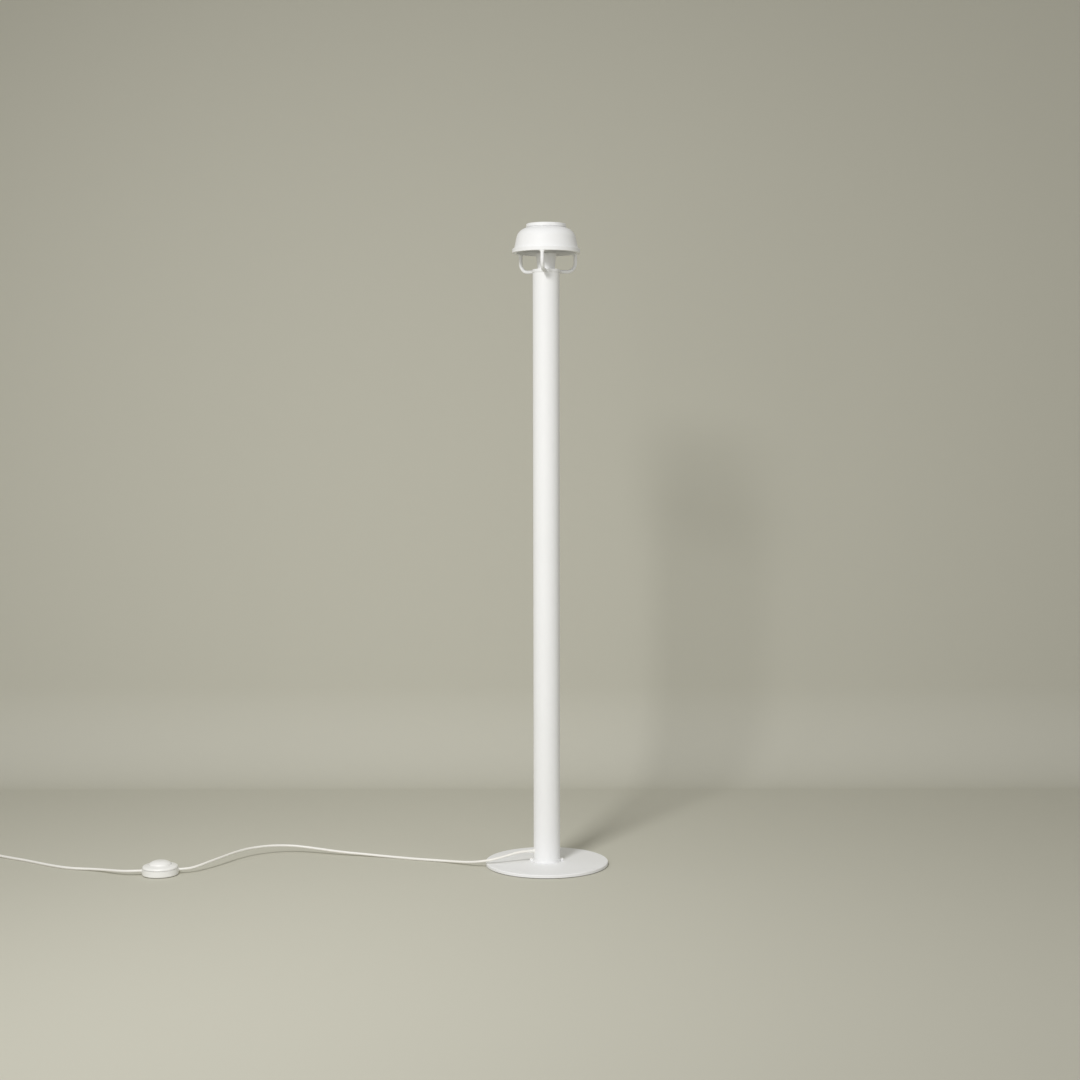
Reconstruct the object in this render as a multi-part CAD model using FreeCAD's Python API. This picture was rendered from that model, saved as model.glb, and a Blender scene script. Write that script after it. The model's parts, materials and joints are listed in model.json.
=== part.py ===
"""Mushroom floor lamp: a heavy disc, a slender tube, and a small metal dome held above it by a cast cage.

Sizes are millimetres. +Z is up and the origin is the centre of the base, on the floor. One arm of the cage
points along -Y, towards whoever faces the lamp, and the mains lead leaves the tube a little forward of -X.
The dome reflects the light of an upward-facing module in the cup below it. A round foot switch sits in the
lead, whose spare length is wound into a tied coil.
"""
import FreeCAD
import Part
import math
import os

os.makedirs("parts", exist_ok=True)
Vector = FreeCAD.Vector
UP = Vector(0, 0, 1)

# ---------------------------------------------------------------- driving sizes
# Clearances, radial or face to face
FIT = 0.15              # a screw or rod in its hole
SLIP_FIT = 0.2          # a spigot in the tube, a shell edge in its groove
RUNNING_FIT = 0.08      # the plunger in the switch body
SEAT_GAP = 0.3          # between a button or cord and what it passes
CUT = 1.0               # how far a cutter runs past the face that it opens
ROUND_FROM = 3.0        # an edge that is softened by less than this is a flat bevel

# Base
PAD = 1.5               # felt pad, which lifts the plate off the floor
PAD_INSET = 7.0
BASE_R = 139.0
PLATE = 7.0
PLATE_EDGE = 1.7        # softening of the plate's top edge
PLATE_FOOT_EDGE = 0.5
RECESS_R = 16.0         # under the plate, for the nut
RECESS_DEPTH = 4.5

# Tube
COLUMN_R = 30.0
COLUMN_WALL = 1.5
COLUMN_LEN = 1322.5
SPOKES = 6              # of the spacer on the lamp rod

# Collar at the foot of the tube
COLLAR_R = 31.2
COLLAR_H = 6.5
SPIGOT_H = 5.0
SPIGOT_WALL = 4.0
EAR_REACH = 34.8        # axis of a collar screw
EAR_COUNT = 2
EAR_DEG = 7.0           # bearing of the first ear
EAR_R = 4.2
EAR_H = 4.0
ARM_COUNT = 3
FRONT_DEG = -90.0       # the front arm and ear

# Fasteners
M3_R = 1.5
M3_HEAD_R = 2.9
M3_HEAD_H = 2.1
M3_KEY_R = 1.1
M3_KEY_DEPTH = 1.2
HEAD_DOME = 0.7         # share of a screw head's height that its edge takes
COLLAR_SCREW_DEPTH = 5.2
ROD_R = 5.0             # threaded lamp rod
ROD_BORE_R = 3.5
ROD_PROUD = 1.8         # beyond each nut
NUT_FLATS = 14.0
NUT_H = 3.0
WASHER_R = 13.0
WASHER_H = 1.0

# Cage: hub, arms and rim in one casting
HUB_R = 31.0
HUB_H = 7.0
HUB_EDGE = 0.5          # how far an arm's fillet stays in from the hub's faces
ARM_R = 4.0
ARM_BEND_R = 21.0       # centreline of the bend
ARM_ROOT_R = 24.0       # where an arm starts inside the hub
RIM_WALL = 4.3          # rim, outside the groove that the dome stands in
RIM_LIP = 2.4           # rim, inside that groove
RIM_H = 9.3
RIM_RISE = 36.2         # hub's top to rim's underside
RIM_EDGE = 0.7
RIM_INNER_EDGE = 1.2
GROOVE_DEPTH = 6.0
ARM_INSET = 0.3         # arm's outer side, in from the rim's
FLARE = 6.0             # fillet where an arm meets the rim
HUB_FLARE = 2.6         # fillet where an arm meets the hub
HUB_FLARE_IN = 0.65     # how far its foot stands inside the hub's side
FLARE_SINK = 0.06       # how far a fillet runs into the arm, where it would only touch it

# Dome and cap
DOME_R = 71.3
DOME_WALL = 1.5
DOME_SKIRT = 7.8        # upright part of the wall, above the groove's floor
DOME_TAPER_DEG = 12.0   # wall, from upright
CROWN_SLOPE_DEG = 16.0  # shoulder's end, from level
CROWN_R = 44.4
CROWN_RISE = 46.5       # rim's top to crown
SHOULDER_R = 27.6
SKIRT_BLEND_R = 12.0
CROWN_EDGE = 2.5
CAP_R = 44.3
CAP_H = 7.3
CAP_EDGE = 1.3
CAP_UNDER_EDGE = 0.5
CAP_NECK_R = 42.4
CAP_NECK_H = 1.6
CAP_BOSS_R = 8.0
M4_R = 2.0
M4_HEAD_R = 3.8
M4_HEAD_H = 2.4
M4_DEPTH = 5.0          # tapped hole in the cap
M4_LEN = 4.0
CAP_WASHER_R = 12.0
GRUB_LEN = 2.9          # grub screws that hold the dome in its groove
GRUB_KEY_R = 0.9
GRUB_RISE = 5.0         # their axis, above the rim's underside

# Light source in its cup
CUP_FOOT_R = 18.8
CUP_TOP_R = 22.9
CUP_H = 35.0
CUP_WALL = 1.5
CUP_FLOOR = 2.0
CUP_EDGE = 0.6
CUP_FLOOR_EDGE = 2.0
SINK_SEAT = 17.0        # hub's top to the ledge that carries the heat sink
SINK_H = 4.5
SINK_FIN_H = 8.0
SINK_FIN = 1.4
SINK_FIN_PITCH = 4.2
SINK_FIN_SPAN = 14.6
LEDGE = 2.6             # how far a ledge stands in from the cup's wall
BOARD_R = 16.5
BOARD_H = 1.6
BOARD_SCREW_SKIN = 1.0  # metal below a board screw's hole
EMITTER_R = 7.0
EMITTER_H = 0.9
LENS_SEAT = 4.2         # below the cup's brim
LENS_WALL = 1.6
LENS_RISE = 6.0
LENS_SHOULDER = 2.8
LENS_EDGE = 3.0
BEZEL_H = 1.8
BEZEL_W = 2.6

# Driver and leads inside the tube
EXIT_DEG = 200.0        # where the mains lead leaves the tube
EXIT_RISE = 32.0        # its height above the floor
CORD_R = 3.0
BEND_SHARE = 0.45        # how much of its shorter run a bend takes, at each end
EXIT_RUN = 20.0          # straight run out of the gland
ENTRY_RUN = 17.0         # straight run at the switch and at the plug
COIL_IN_RUN = 28.0       # straight run into the coil
COIL_OUT_RUN = 14.0      # and out of it
HEAD_LEAD_R = 2.2
HEAD_LEAD_AT = 12.0     # its distance from the rod's axis
DRIVER_AT = 14.6        # driver's axis, from the rod's axis
DRIVER_DEEP = 15.0
DRIVER_WIDE = 26.0
DRIVER_LEN = 110.0
DRIVER_CORNER = 2.0
DRIVER_RISE = 72.0      # its lower end, above the floor
BRACKET = 3.0
BRACKET_CLAMP_R = 8.6
BRACKET_CLAMP_H = 9.0
SPACER_H = 8.0
SPACER_AT = 0.52        # share of the tube's height
INNER_BEND_R = 9.0
SPACER_WINDOW_R = 5.7
SPACER_WINDOW_AT = 16.5
GLAND_R = 4.6
GLAND_TIP_R = 3.75
GLAND_REACH = 14.0      # beyond the tube
GLAND_FLANGE_R = 6.2
GLAND_FLANGE = 1.2
GLAND_NUT_R = 6.3
GLAND_INSIDE = 4.4      # length inside the tube

# Foot switch, on its own axes: +X towards the lamp's side of the lead
SWITCH_AT = Vector(-842.7, -197.2, 0)
SWITCH_DEG = 17.0
SWITCH_R = 40.0
SWITCH_WALL = 2.2
SWITCH_EDGE = 2.6       # rounding of the housing's lower edge
SWITCH_FOOT = 1.0       # rubber feet, proud of the housing
SWITCH_FOOT_R = 5.0
SWITCH_FOOT_DEPTH = 0.8
SWITCH_FOOT_AT = 31.0
SEAM_RISE = 15.4        # top of the lower housing
COVER_INSET = 0.7       # cover's side, in from the housing's
COVER_SIDE = 4.6        # upright part of the cover
COVER_H = 8.4
COVER_MOUTH_R = 25.0
COVER_SHOULDER_R = 4.5
BUTTON_TOP_RISE = 32.0
BUTTON_SIDE_RISE = 26.2
BUTTON_WALL = 2.0
BUTTON_EDGE_R = 5.0
BUTTON_CROWN_R = 13.0   # where the button's slope meets its crown
BUTTON_CROWN_BLEND = 28.0
FLANGE_W = 1.6
FLANGE_H = 1.6
BUTTON_TRAVEL = 3.5
BUTTON_SLACK = 0.5      # under the cover, at rest
CORD_RISE = 10.5        # lead's axis where it enters the switch
LATCH_X = 20.0
LATCH_Y = 16.0
LATCH_H = 9.0
LATCH_BORE_DEPTH = 6.4
PLUNGER_R = 3.0
PLUNGER_IN = 1.6        # how far the plunger stands in the latch at rest
STEM_R = 5.0
STEM_SLACK = 0.9        # between stem and latch when the button is down
SPRING_R = 8.0
SPRING_WIRE_R = 0.6
SPRING_TURNS = 2.5
WEB_R = 10.0            # disc on the stem that the spring bears on
BOSS_R = 4.0
BOSS_AT = 31.6
BOSS_DEGS = (90, 210, 330)
HOUSING_SCREW_IN = 4.0  # length in the cover's boss
POST_R = 2.7
CLAMP_X = 5.0
CLAMP_Y = 21.0
CLAMP_H = 2.0
CLAMP_AT = 31.0
CLAMP_SCREW_AT = 7.6
CLAMP_SCREW_LEN = 6.0
SHEATH_IN = 18.0        # outer sheath of the lead, inside the housing
CORE_R = 1.1
CORE_AT = 1.7
TERMINAL_X = 5.0
TERMINAL_Y = 11.0
TERMINAL_H = 5.0

# Spare lead: a tied coil of two layers
COIL_AT = Vector(-1338.0, -96.0, 0)
COIL_START_DEG = 68.0
COIL_TURNS = 4.25
COIL_INNER_R = 27.8
COIL_PITCH = 6.6        # from turn to turn, and from layer to layer
COIL_SOFTNESS = 0.5     # rounds the spiral where it reverses, in radians
TIE = 1.0
TIE_W = 12.0
TIE_DEG = -75.0
TIE_TAB = 13.0

# Plug, on its own axes: +X the way its pins point, from where the lead enters it
PLUG_AT = Vector(-1340.8, -159.1, 0)
PLUG_DEG = -15.0
RELIEF_LEN = 26.0
RELIEF_TIP_R = 3.7
RELIEF_R = 5.2
RELIEF_GROOVES = 4
RELIEF_GROOVE_W = 1.4
RELIEF_GROOVE_DEPTH = 0.7
RELIEF_TIP_EDGE = 0.6
PLUG_LEN = 36.0
PLUG_WIDE = 35.0
PLUG_NECK_WIDE = 16.0
PLUG_NECK_LEN = 17.0
PLUG_THICK = 13.7
PLUG_CORNER_R = 4.0
PLUG_NECK_CORNER = 2.0
PLUG_FACE_CORNER = 1.5
PLUG_EDGE = 1.8
PIN_R = 2.0
PIN_LEN = 19.0
PIN_BARE = 9.0
PIN_CORE_R = 1.4
PIN_SLEEVE_R = 1.7
PIN_SPACING = 18.6
PIN_ROOT = 10.0         # length of a pin inside the plug

# ---------------------------------------------------------------- levels
PLATE_Z = PAD + PLATE
COLUMN_FOOT_Z = PLATE_Z + COLLAR_H
COLUMN_TOP_Z = COLUMN_FOOT_Z + COLUMN_LEN
BORE_R = COLUMN_R - COLUMN_WALL
HUB_Z = COLUMN_TOP_Z + HUB_H
GROOVE_R = DOME_R + SLIP_FIT
GROOVE_INNER_R = DOME_R - DOME_WALL - SLIP_FIT
RIM_R = GROOVE_R + RIM_WALL
RIM_INNER_R = GROOVE_INNER_R - RIM_LIP
RIM_Z = HUB_Z + RIM_RISE
RIM_TOP_Z = RIM_Z + RIM_H
GROOVE_Z = RIM_TOP_Z - GROOVE_DEPTH
CROWN_Z = RIM_TOP_Z + CROWN_RISE
ARM_DEGS = [FRONT_DEG + 360.0 * i / ARM_COUNT for i in range(ARM_COUNT)]
BETWEEN_DEGS = [deg + 180.0 / ARM_COUNT for deg in ARM_DEGS]
EAR_DEGS = [EAR_DEG + 360.0 * i / EAR_COUNT for i in range(EAR_COUNT)]
CUP_BRIM_Z = HUB_Z + CUP_H
ROD_FOOT_Z = PLATE_Z - PLATE + RECESS_DEPTH - WASHER_H - NUT_H
ROD_NUT_Z = HUB_Z + CUP_FLOOR
SWITCH_FLOOR_Z = SWITCH_FOOT + SWITCH_WALL
LATCH_Z = SWITCH_FLOOR_Z + LATCH_H
COIL_Z = CORD_R + SEAT_GAP + TIE
COIL_TOP_Z = COIL_Z + COIL_PITCH


# ---------------------------------------------------------------- general shapes
def polar(radius, deg, z=0.0):
    """A point at that distance and bearing from the Z axis."""
    return Vector(radius * math.cos(math.radians(deg)), radius * math.sin(math.radians(deg)), z)


def turned(shape, deg, at=Vector(0, 0, 0)):
    """A copy of the shape, turned about the Z axis and then moved."""
    copy = shape.copy()
    copy.rotate(Vector(0, 0, 0), UP, deg)
    copy.translate(at)
    return copy


def around(shape, degs):
    """Copies of the shape, one at each bearing."""
    return [turned(shape, deg) for deg in degs]


def disc(radius, z, height, at=Vector(0, 0, 0)):
    """An upright cylinder that starts at height z."""
    return Part.makeCylinder(radius, height, Vector(at.x, at.y, z))


def bore(radius, z, height, at=Vector(0, 0, 0)):
    """A cutter for an upright hole between two faces, a little longer than the hole."""
    return disc(radius, z - CUT, height + 2 * CUT, at)


def washer(outer, inner, z, height, at=Vector(0, 0, 0)):
    """An upright ring that starts at height z."""
    return disc(outer, z, height, at).cut(bore(inner, z, height, at))


def rod(radius, start, end):
    """A cylinder from one point to another."""
    return Part.makeCylinder(radius, (end - start).Length, start, end - start)


def block(x, y, z, low):
    """A box of that size on the point at the middle of its underside."""
    return Part.makeBox(x, y, z, Vector(low.x - x / 2, low.y - y / 2, low.z))


def hexagon(flats, z, height):
    """An upright hexagonal prism, as a nut's body."""
    corner = flats / 2 / math.cos(math.radians(30))
    points = [polar(corner, 60 * i, z) for i in range(6)]
    return Part.Face(Part.makePolygon(points + points[:1])).extrude(UP * height)


def path_edges(points, radii, closed=False):
    """Straight runs through the points, joined by arcs of those radii, or by bevels where these are small."""
    ends = []
    arcs = []
    for i, point in enumerate(points):
        if not radii[i]:
            ends.append((point, point))
            arcs.append(None)
            continue
        back = (points[i - 1] - point).normalize()
        ahead = (points[(i + 1) % len(points)] - point).normalize()
        half_turn = (math.pi - back.getAngle(ahead)) / 2
        reach = radii[i] * math.tan(half_turn)
        inset = radii[i] / math.cos(half_turn) - radii[i]
        ends.append((point + back * reach, point + ahead * reach))
        arcs.append(point + (back + ahead).normalize() * inset)
    edges = []
    for i, (arrive, leave) in enumerate(ends):
        if arcs[i]:
            bevel = radii[i] < ROUND_FROM
            curve = Part.LineSegment(arrive, leave) if bevel else Part.Arc(arrive, arcs[i], leave)
            edges.append(curve.toShape())
        follows = ends[(i + 1) % len(ends)][0]
        if (closed or i + 1 < len(ends)) and (follows - leave).Length > 1e-6:
            edges.append(Part.LineSegment(leave, follows).toShape())
    return edges


def outline(corners, along=Vector(1, 0, 0), across=UP):
    """A face inside corners of (along, across, rounding)."""
    points = [along * a + across * b for a, b, _ in corners]
    return Part.Face(Part.Wire(path_edges(points, [c[2] for c in corners], closed=True)))


def spun(corners):
    """The solid that a profile of corners (radius, height, rounding) sweeps round the Z axis."""
    return outline(corners).revolve(Vector(0, 0, 0), UP, 360)


def plate_of(corners, z, height):
    """An upright plate whose plan has corners of (x, y, rounding)."""
    face = outline(corners, across=Vector(0, 1, 0))
    face.translate(UP * z)
    return face.extrude(UP * height)


def inside_of(corners, wall):
    """The same open path again, moved to its left by the wall's thickness, with its roundings to match."""
    points = [Vector(a, b, 0) for a, b, _ in corners]
    ways = [(q - p).normalize() for p, q in zip(points, points[1:])]
    lefts = [Vector(-w.y, w.x, 0) for w in ways]
    moved = [(points[0] + lefts[0] * wall, 0)]
    for i in range(1, len(points) - 1):
        mitre = (lefts[i - 1] + lefts[i]).normalize()
        at = points[i] + mitre * (wall / mitre.dot(lefts[i]))
        hollow = ways[i - 1].cross(ways[i]).z > 0
        rounding = corners[i][2] - wall if hollow else corners[i][2] + wall
        moved.append((at, max(rounding, 0) if corners[i][2] else 0))
    moved.append((points[-1] + lefts[-1] * wall, 0))
    return [(p.x, p.y, r) for p, r in moved]


def shell(corners, wall):
    """A spun shell whose outer face follows the open path of corners, from its foot to its middle."""
    return spun(corners + inside_of(corners, wall)[::-1])


def pipe(edges, radius):
    """A round bar along tangent edges."""
    start = edges[0].valueAt(edges[0].FirstParameter)
    way = edges[0].tangentAt(edges[0].FirstParameter)
    ring = Part.Wire(Part.makeCircle(radius, start, way))
    return Part.Wire(edges).makePipeShell([ring], True, False)


def screw(radius, length, head_r, head_h, key_r):
    """A button-headed screw on the Z axis, its head above z 0 and its shank below."""
    head = spun([(0, 0, 0), (head_r, 0, 0), (head_r, head_h, head_h * HEAD_DOME), (0, head_h, 0)])
    return head.fuse(disc(radius, -length, length)).cut(hexagon(key_r * 2, head_h - M3_KEY_DEPTH, head_h))


def nut(z, height):
    """A thin hexagonal nut on the lamp rod."""
    return hexagon(NUT_FLATS, z, height).cut(bore(ROD_R + FIT, z, height))


# ---------------------------------------------------------------- base and tube
def base():
    """Felt pad, steel plate, and the nut and washer in the recess below it."""
    plate_foot = PLATE_Z - PLATE
    recess_z = plate_foot + RECESS_DEPTH
    plate = spun([(0, plate_foot, 0), (BASE_R, plate_foot, PLATE_FOOT_EDGE), (BASE_R, PLATE_Z, PLATE_EDGE),
                  (0, PLATE_Z, 0)])
    plate = plate.cut(disc(RECESS_R, plate_foot - CUT, RECESS_DEPTH + CUT))
    plate = plate.cut(bore(ROD_R + FIT, plate_foot, PLATE))
    hole = disc(M3_R + FIT, PLATE_Z - COLLAR_SCREW_DEPTH, COLLAR_SCREW_DEPTH + CUT, polar(EAR_REACH, 0))
    for deg in EAR_DEGS:
        plate = plate.cut(turned(hole, deg))
    return {
        "base_plate": plate,
        "base_pad": washer(BASE_R - PAD_INSET, RECESS_R + PAD_INSET, 0, PAD),
        "base_washer": washer(WASHER_R, ROD_R + FIT, recess_z - WASHER_H, WASHER_H),
        "base_nut": nut(ROD_FOOT_Z, NUT_H),
    }


def tube_end(radius, z, height, spigot_z):
    """A round end piece of the tube, with a ring that centres it in the bore."""
    ring_r = BORE_R - SLIP_FIT
    body = disc(radius, z, height).fuse(washer(ring_r, ring_r - SPIGOT_WALL, spigot_z, SPIGOT_H))
    return body.cut(disc(ROD_R + FIT, z - SPIGOT_H, height + 2 * SPIGOT_H))


def foot_collar():
    """Collar that the tube stands on, held to the plate by a screw through each of its ears."""
    collar = tube_end(COLLAR_R, PLATE_Z, COLLAR_H, COLUMN_FOOT_Z)
    ear = disc(EAR_R, PLATE_Z, EAR_H, polar(EAR_REACH, 0))
    ear = ear.fuse(block(EAR_REACH - BORE_R, EAR_R * 2, EAR_H, Vector((EAR_REACH + BORE_R) / 2, 0, PLATE_Z)))
    hole = bore(M3_R + FIT, PLATE_Z, COLLAR_H, polar(EAR_REACH, 0))
    for deg in EAR_DEGS:
        collar = collar.fuse(turned(ear, deg)).cut(turned(hole, deg))
    collar_screw = screw(M3_R, EAR_H + COLLAR_SCREW_DEPTH - FIT, M3_HEAD_R, M3_HEAD_H, M3_KEY_R)
    collar_screw.translate(polar(EAR_REACH, 0, PLATE_Z + EAR_H))
    clear = disc(M3_HEAD_R + FIT, PLATE_Z + EAR_H, COLLAR_H, polar(EAR_REACH, 0))
    for deg in EAR_DEGS:
        collar = collar.cut(turned(clear, deg))
    return {
        "foot_collar": collar.removeSplitter(),
        "collar_screws": Part.makeCompound(around(collar_screw, EAR_DEGS)),
    }


def column():
    """Steel tube with the lead's hole near its foot, and the long rod that clamps the lamp together."""
    tube = washer(COLUMN_R, BORE_R, COLUMN_FOOT_Z, COLUMN_LEN)
    level = UP * EXIT_RISE
    hole = rod(GLAND_R + FIT, level + Vector(BORE_R - GLAND_INSIDE, 0, 0), level + Vector(COLUMN_R + CUT, 0, 0))
    rod_top_z = ROD_NUT_Z + NUT_H + ROD_PROUD
    return {
        "column_tube": tube.cut(turned(hole, EXIT_DEG)),
        "tie_rod": washer(ROD_R, ROD_BORE_R, ROD_FOOT_Z, rod_top_z - ROD_FOOT_Z),
        "hub_nut": nut(ROD_NUT_Z, NUT_H),
    }


def column_inside():
    """Gland, inner leads, driver and its brackets, built with the lead's exit along +X and then turned."""
    level = Vector(0, 0, EXIT_RISE)
    out = Vector(1, 0, 0)
    lead_hole = rod(CORD_R + FIT, level, level + out * (COLUMN_R + GLAND_REACH + CUT))
    sleeve_start = level + out * (BORE_R - GLAND_INSIDE)
    sleeve = rod(GLAND_R, sleeve_start, level + out * COLUMN_R)
    taper = Part.makeCone(GLAND_R, GLAND_TIP_R, GLAND_REACH, level + out * COLUMN_R, out)
    flange_foot = level + out * (COLUMN_R - 2 * GLAND_FLANGE)
    flange = rod(GLAND_FLANGE_R, flange_foot, level + out * (COLUMN_R + GLAND_FLANGE))
    flange = flange.cut(disc(COLUMN_R + FIT, 0, 2 * EXIT_RISE))
    gland = sleeve.fuse([taper, flange]).cut(lead_hole)
    nut_start = level + out * (BORE_R - GLAND_INSIDE + SEAT_GAP)
    gland_nut = rod(GLAND_NUT_R, nut_start, level + out * BORE_R)
    gland_nut = gland_nut.common(disc(BORE_R - FIT, 0, 2 * EXIT_RISE))
    gland_nut = gland_nut.cut(rod(GLAND_R + FIT, level, level + out * COLUMN_R))

    driver_top = DRIVER_RISE + DRIVER_LEN
    mains_points = [level + out * (COLUMN_R + GLAND_REACH), level + out * DRIVER_AT,
                    Vector(DRIVER_AT, 0, DRIVER_RISE)]
    mains_lead = pipe(path_edges(mains_points, [0, INNER_BEND_R, 0]), CORD_R)
    board_foot = HUB_Z + SINK_SEAT + SINK_H
    head_lead = disc(HEAD_LEAD_R, driver_top, board_foot - driver_top, Vector(HEAD_LEAD_AT, 0, 0))

    near, far = DRIVER_AT - DRIVER_DEEP / 2, DRIVER_AT + DRIVER_DEEP / 2
    half = DRIVER_WIDE / 2
    driver_plan = ((near, -half), (far, -half), (far, half), (near, half))
    driver = plate_of([(x, y, DRIVER_CORNER) for x, y in driver_plan], DRIVER_RISE, DRIVER_LEN)

    def bracket(shelf_z, clamp_z, lead_r, lead_at):
        """A shelf against one end of the driver, with its clamp round the rod."""
        shelf = block(far, DRIVER_WIDE, BRACKET, Vector(far / 2, 0, shelf_z))
        shelf = shelf.fuse(disc(BRACKET_CLAMP_R, clamp_z, BRACKET_CLAMP_H))
        shelf = shelf.cut(bore(ROD_R + FIT, clamp_z, BRACKET_CLAMP_H))
        return shelf.cut(bore(lead_r + FIT, shelf_z, BRACKET, Vector(lead_at, 0, 0)))

    lower = bracket(DRIVER_RISE - BRACKET, DRIVER_RISE - BRACKET_CLAMP_H, CORD_R, DRIVER_AT)
    upper = bracket(driver_top, driver_top, HEAD_LEAD_R, HEAD_LEAD_AT)
    upper = upper.cut(bore(HEAD_LEAD_R + FIT, driver_top, BRACKET_CLAMP_H, Vector(HEAD_LEAD_AT, 0, 0)))

    spacer_z = COLUMN_FOOT_Z + COLUMN_LEN * SPACER_AT
    spacer = washer(BORE_R - SLIP_FIT, ROD_R + FIT, spacer_z, SPACER_H)
    window = bore(SPACER_WINDOW_R, spacer_z, SPACER_H, Vector(SPACER_WINDOW_AT, 0, 0))
    for i in range(1, SPOKES):
        spacer = spacer.cut(turned(window, 360 / SPOKES * i))
    spacer = spacer.cut(bore(HEAD_LEAD_R + FIT, spacer_z, SPACER_H, Vector(HEAD_LEAD_AT, 0, 0)))

    parts = {
        "cord_gland": gland,
        "gland_nut": gland_nut,
        "mains_lead": mains_lead,
        "head_lead": head_lead,
        "led_driver": driver,
        "driver_brackets": Part.makeCompound([lower, upper]),
        "rod_spacer": spacer,
    }
    return {name: turned(shape, EXIT_DEG) for name, shape in parts.items()}


# ---------------------------------------------------------------- head
def flare(radius, width):
    """A concave fillet round a bar on Z, widest at z 0, on a foot that is sunk into what it meets."""
    top = radius - FLARE_SINK
    foot = top + width
    middle = width * (1 - math.cos(math.radians(45)))
    corners = [Vector(0, 0, -width / 2), Vector(foot, 0, -width / 2), Vector(foot, 0, 0)]
    edges = [Part.LineSegment(corners[0], corners[1]).toShape(),
             Part.LineSegment(corners[1], corners[2]).toShape(),
             Part.Arc(corners[2], Vector(top + middle, 0, middle), Vector(top, 0, width)).toShape(),
             Part.LineSegment(Vector(top, 0, width), Vector(0, 0, width)).toShape(),
             Part.LineSegment(Vector(0, 0, width), corners[0]).toShape()]
    return Part.Face(Part.Wire(edges)).revolve(Vector(0, 0, 0), UP, 360)


def cage_arm():
    """One arm along +X: out of the hub, up round its bend and into the rim, with a flare at each end."""
    reach = RIM_R - ARM_R - ARM_INSET
    level = COLUMN_TOP_Z + HUB_H / 2
    points = [Vector(ARM_ROOT_R, 0, level), Vector(reach, 0, level), Vector(reach, 0, RIM_Z + RIM_H / 3)]
    arm = pipe(path_edges(points, [0, ARM_BEND_R, 0]), ARM_R)
    rim_flare = flare(ARM_R, FLARE)
    rim_flare.rotate(Vector(0, 0, 0), Vector(1, 0, 0), 180)
    rim_flare.translate(Vector(reach, 0, RIM_Z))
    margin = ARM_INSET / 2
    rim_flare = rim_flare.common(washer(RIM_R - margin, RIM_INNER_R + margin, RIM_Z - FLARE, FLARE * 1.5))
    hub_flare = flare(ARM_R, HUB_FLARE)
    hub_flare.rotate(Vector(0, 0, 0), Vector(0, 1, 0), 90)
    hub_flare.translate(Vector(HUB_R - HUB_FLARE_IN, 0, level))
    slab = block(HUB_FLARE * 4, ARM_R * 4, HUB_H - 2 * HUB_EDGE, Vector(HUB_R, 0, COLUMN_TOP_Z + HUB_EDGE))
    return arm, rim_flare, hub_flare.common(slab)


def cage():
    """The head's casting: hub on the tube, three bent arms and the grooved rim that the dome stands in."""
    rim = spun([(RIM_INNER_R, RIM_Z, RIM_INNER_EDGE), (RIM_R, RIM_Z, RIM_EDGE), (RIM_R, RIM_TOP_Z, RIM_EDGE),
                (GROOVE_R, RIM_TOP_Z, 0), (GROOVE_R, GROOVE_Z, 0), (GROOVE_INNER_R, GROOVE_Z, 0),
                (GROOVE_INNER_R, RIM_TOP_Z, 0), (RIM_INNER_R, RIM_TOP_Z, RIM_EDGE)])
    hub = tube_end(HUB_R, COLUMN_TOP_Z, HUB_H, COLUMN_TOP_Z - SPIGOT_H)
    keep_clear = disc(COLUMN_R + SLIP_FIT, COLUMN_TOP_Z - HUB_H, HUB_H)
    arms = []
    for piece in cage_arm():
        arms += around(piece.cut(keep_clear), ARM_DEGS)
    body = hub.fuse([rim] + arms)
    body = body.cut(bore(HEAD_LEAD_R + SEAT_GAP, COLUMN_TOP_Z, HUB_H, polar(HEAD_LEAD_AT, EXIT_DEG)))
    start = Vector(RIM_INNER_R - CUT, 0, RIM_Z + GRUB_RISE)
    for hole in around(rod(M3_R + FIT, start, start + Vector(RIM_LIP + 1.5 * CUT, 0, 0)), BETWEEN_DEGS):
        body = body.cut(hole)
    return body


def dome_path():
    """Outer profile of the dome, from its skirt to its crown: an upright skirt, a taper and a shoulder."""
    taper = math.radians(DOME_TAPER_DEG)
    slope = math.radians(CROWN_SLOPE_DEG)
    skirt_z = GROOVE_Z + DOME_SKIRT
    # the taper leaves the skirt's top, the slope arrives at the crown's edge, and they meet in between
    drop = (DOME_R - CROWN_R) * math.tan(slope)
    rise = (CROWN_Z - skirt_z - drop) / (1 - math.tan(taper) * math.tan(slope))
    return [(DOME_R, GROOVE_Z + SLIP_FIT, 0), (DOME_R, skirt_z, SKIRT_BLEND_R),
            (DOME_R - rise * math.tan(taper), skirt_z + rise, SHOULDER_R),
            (CROWN_R, CROWN_Z, CROWN_EDGE), (CAP_BOSS_R + SLIP_FIT, CROWN_Z, 0)]


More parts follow.
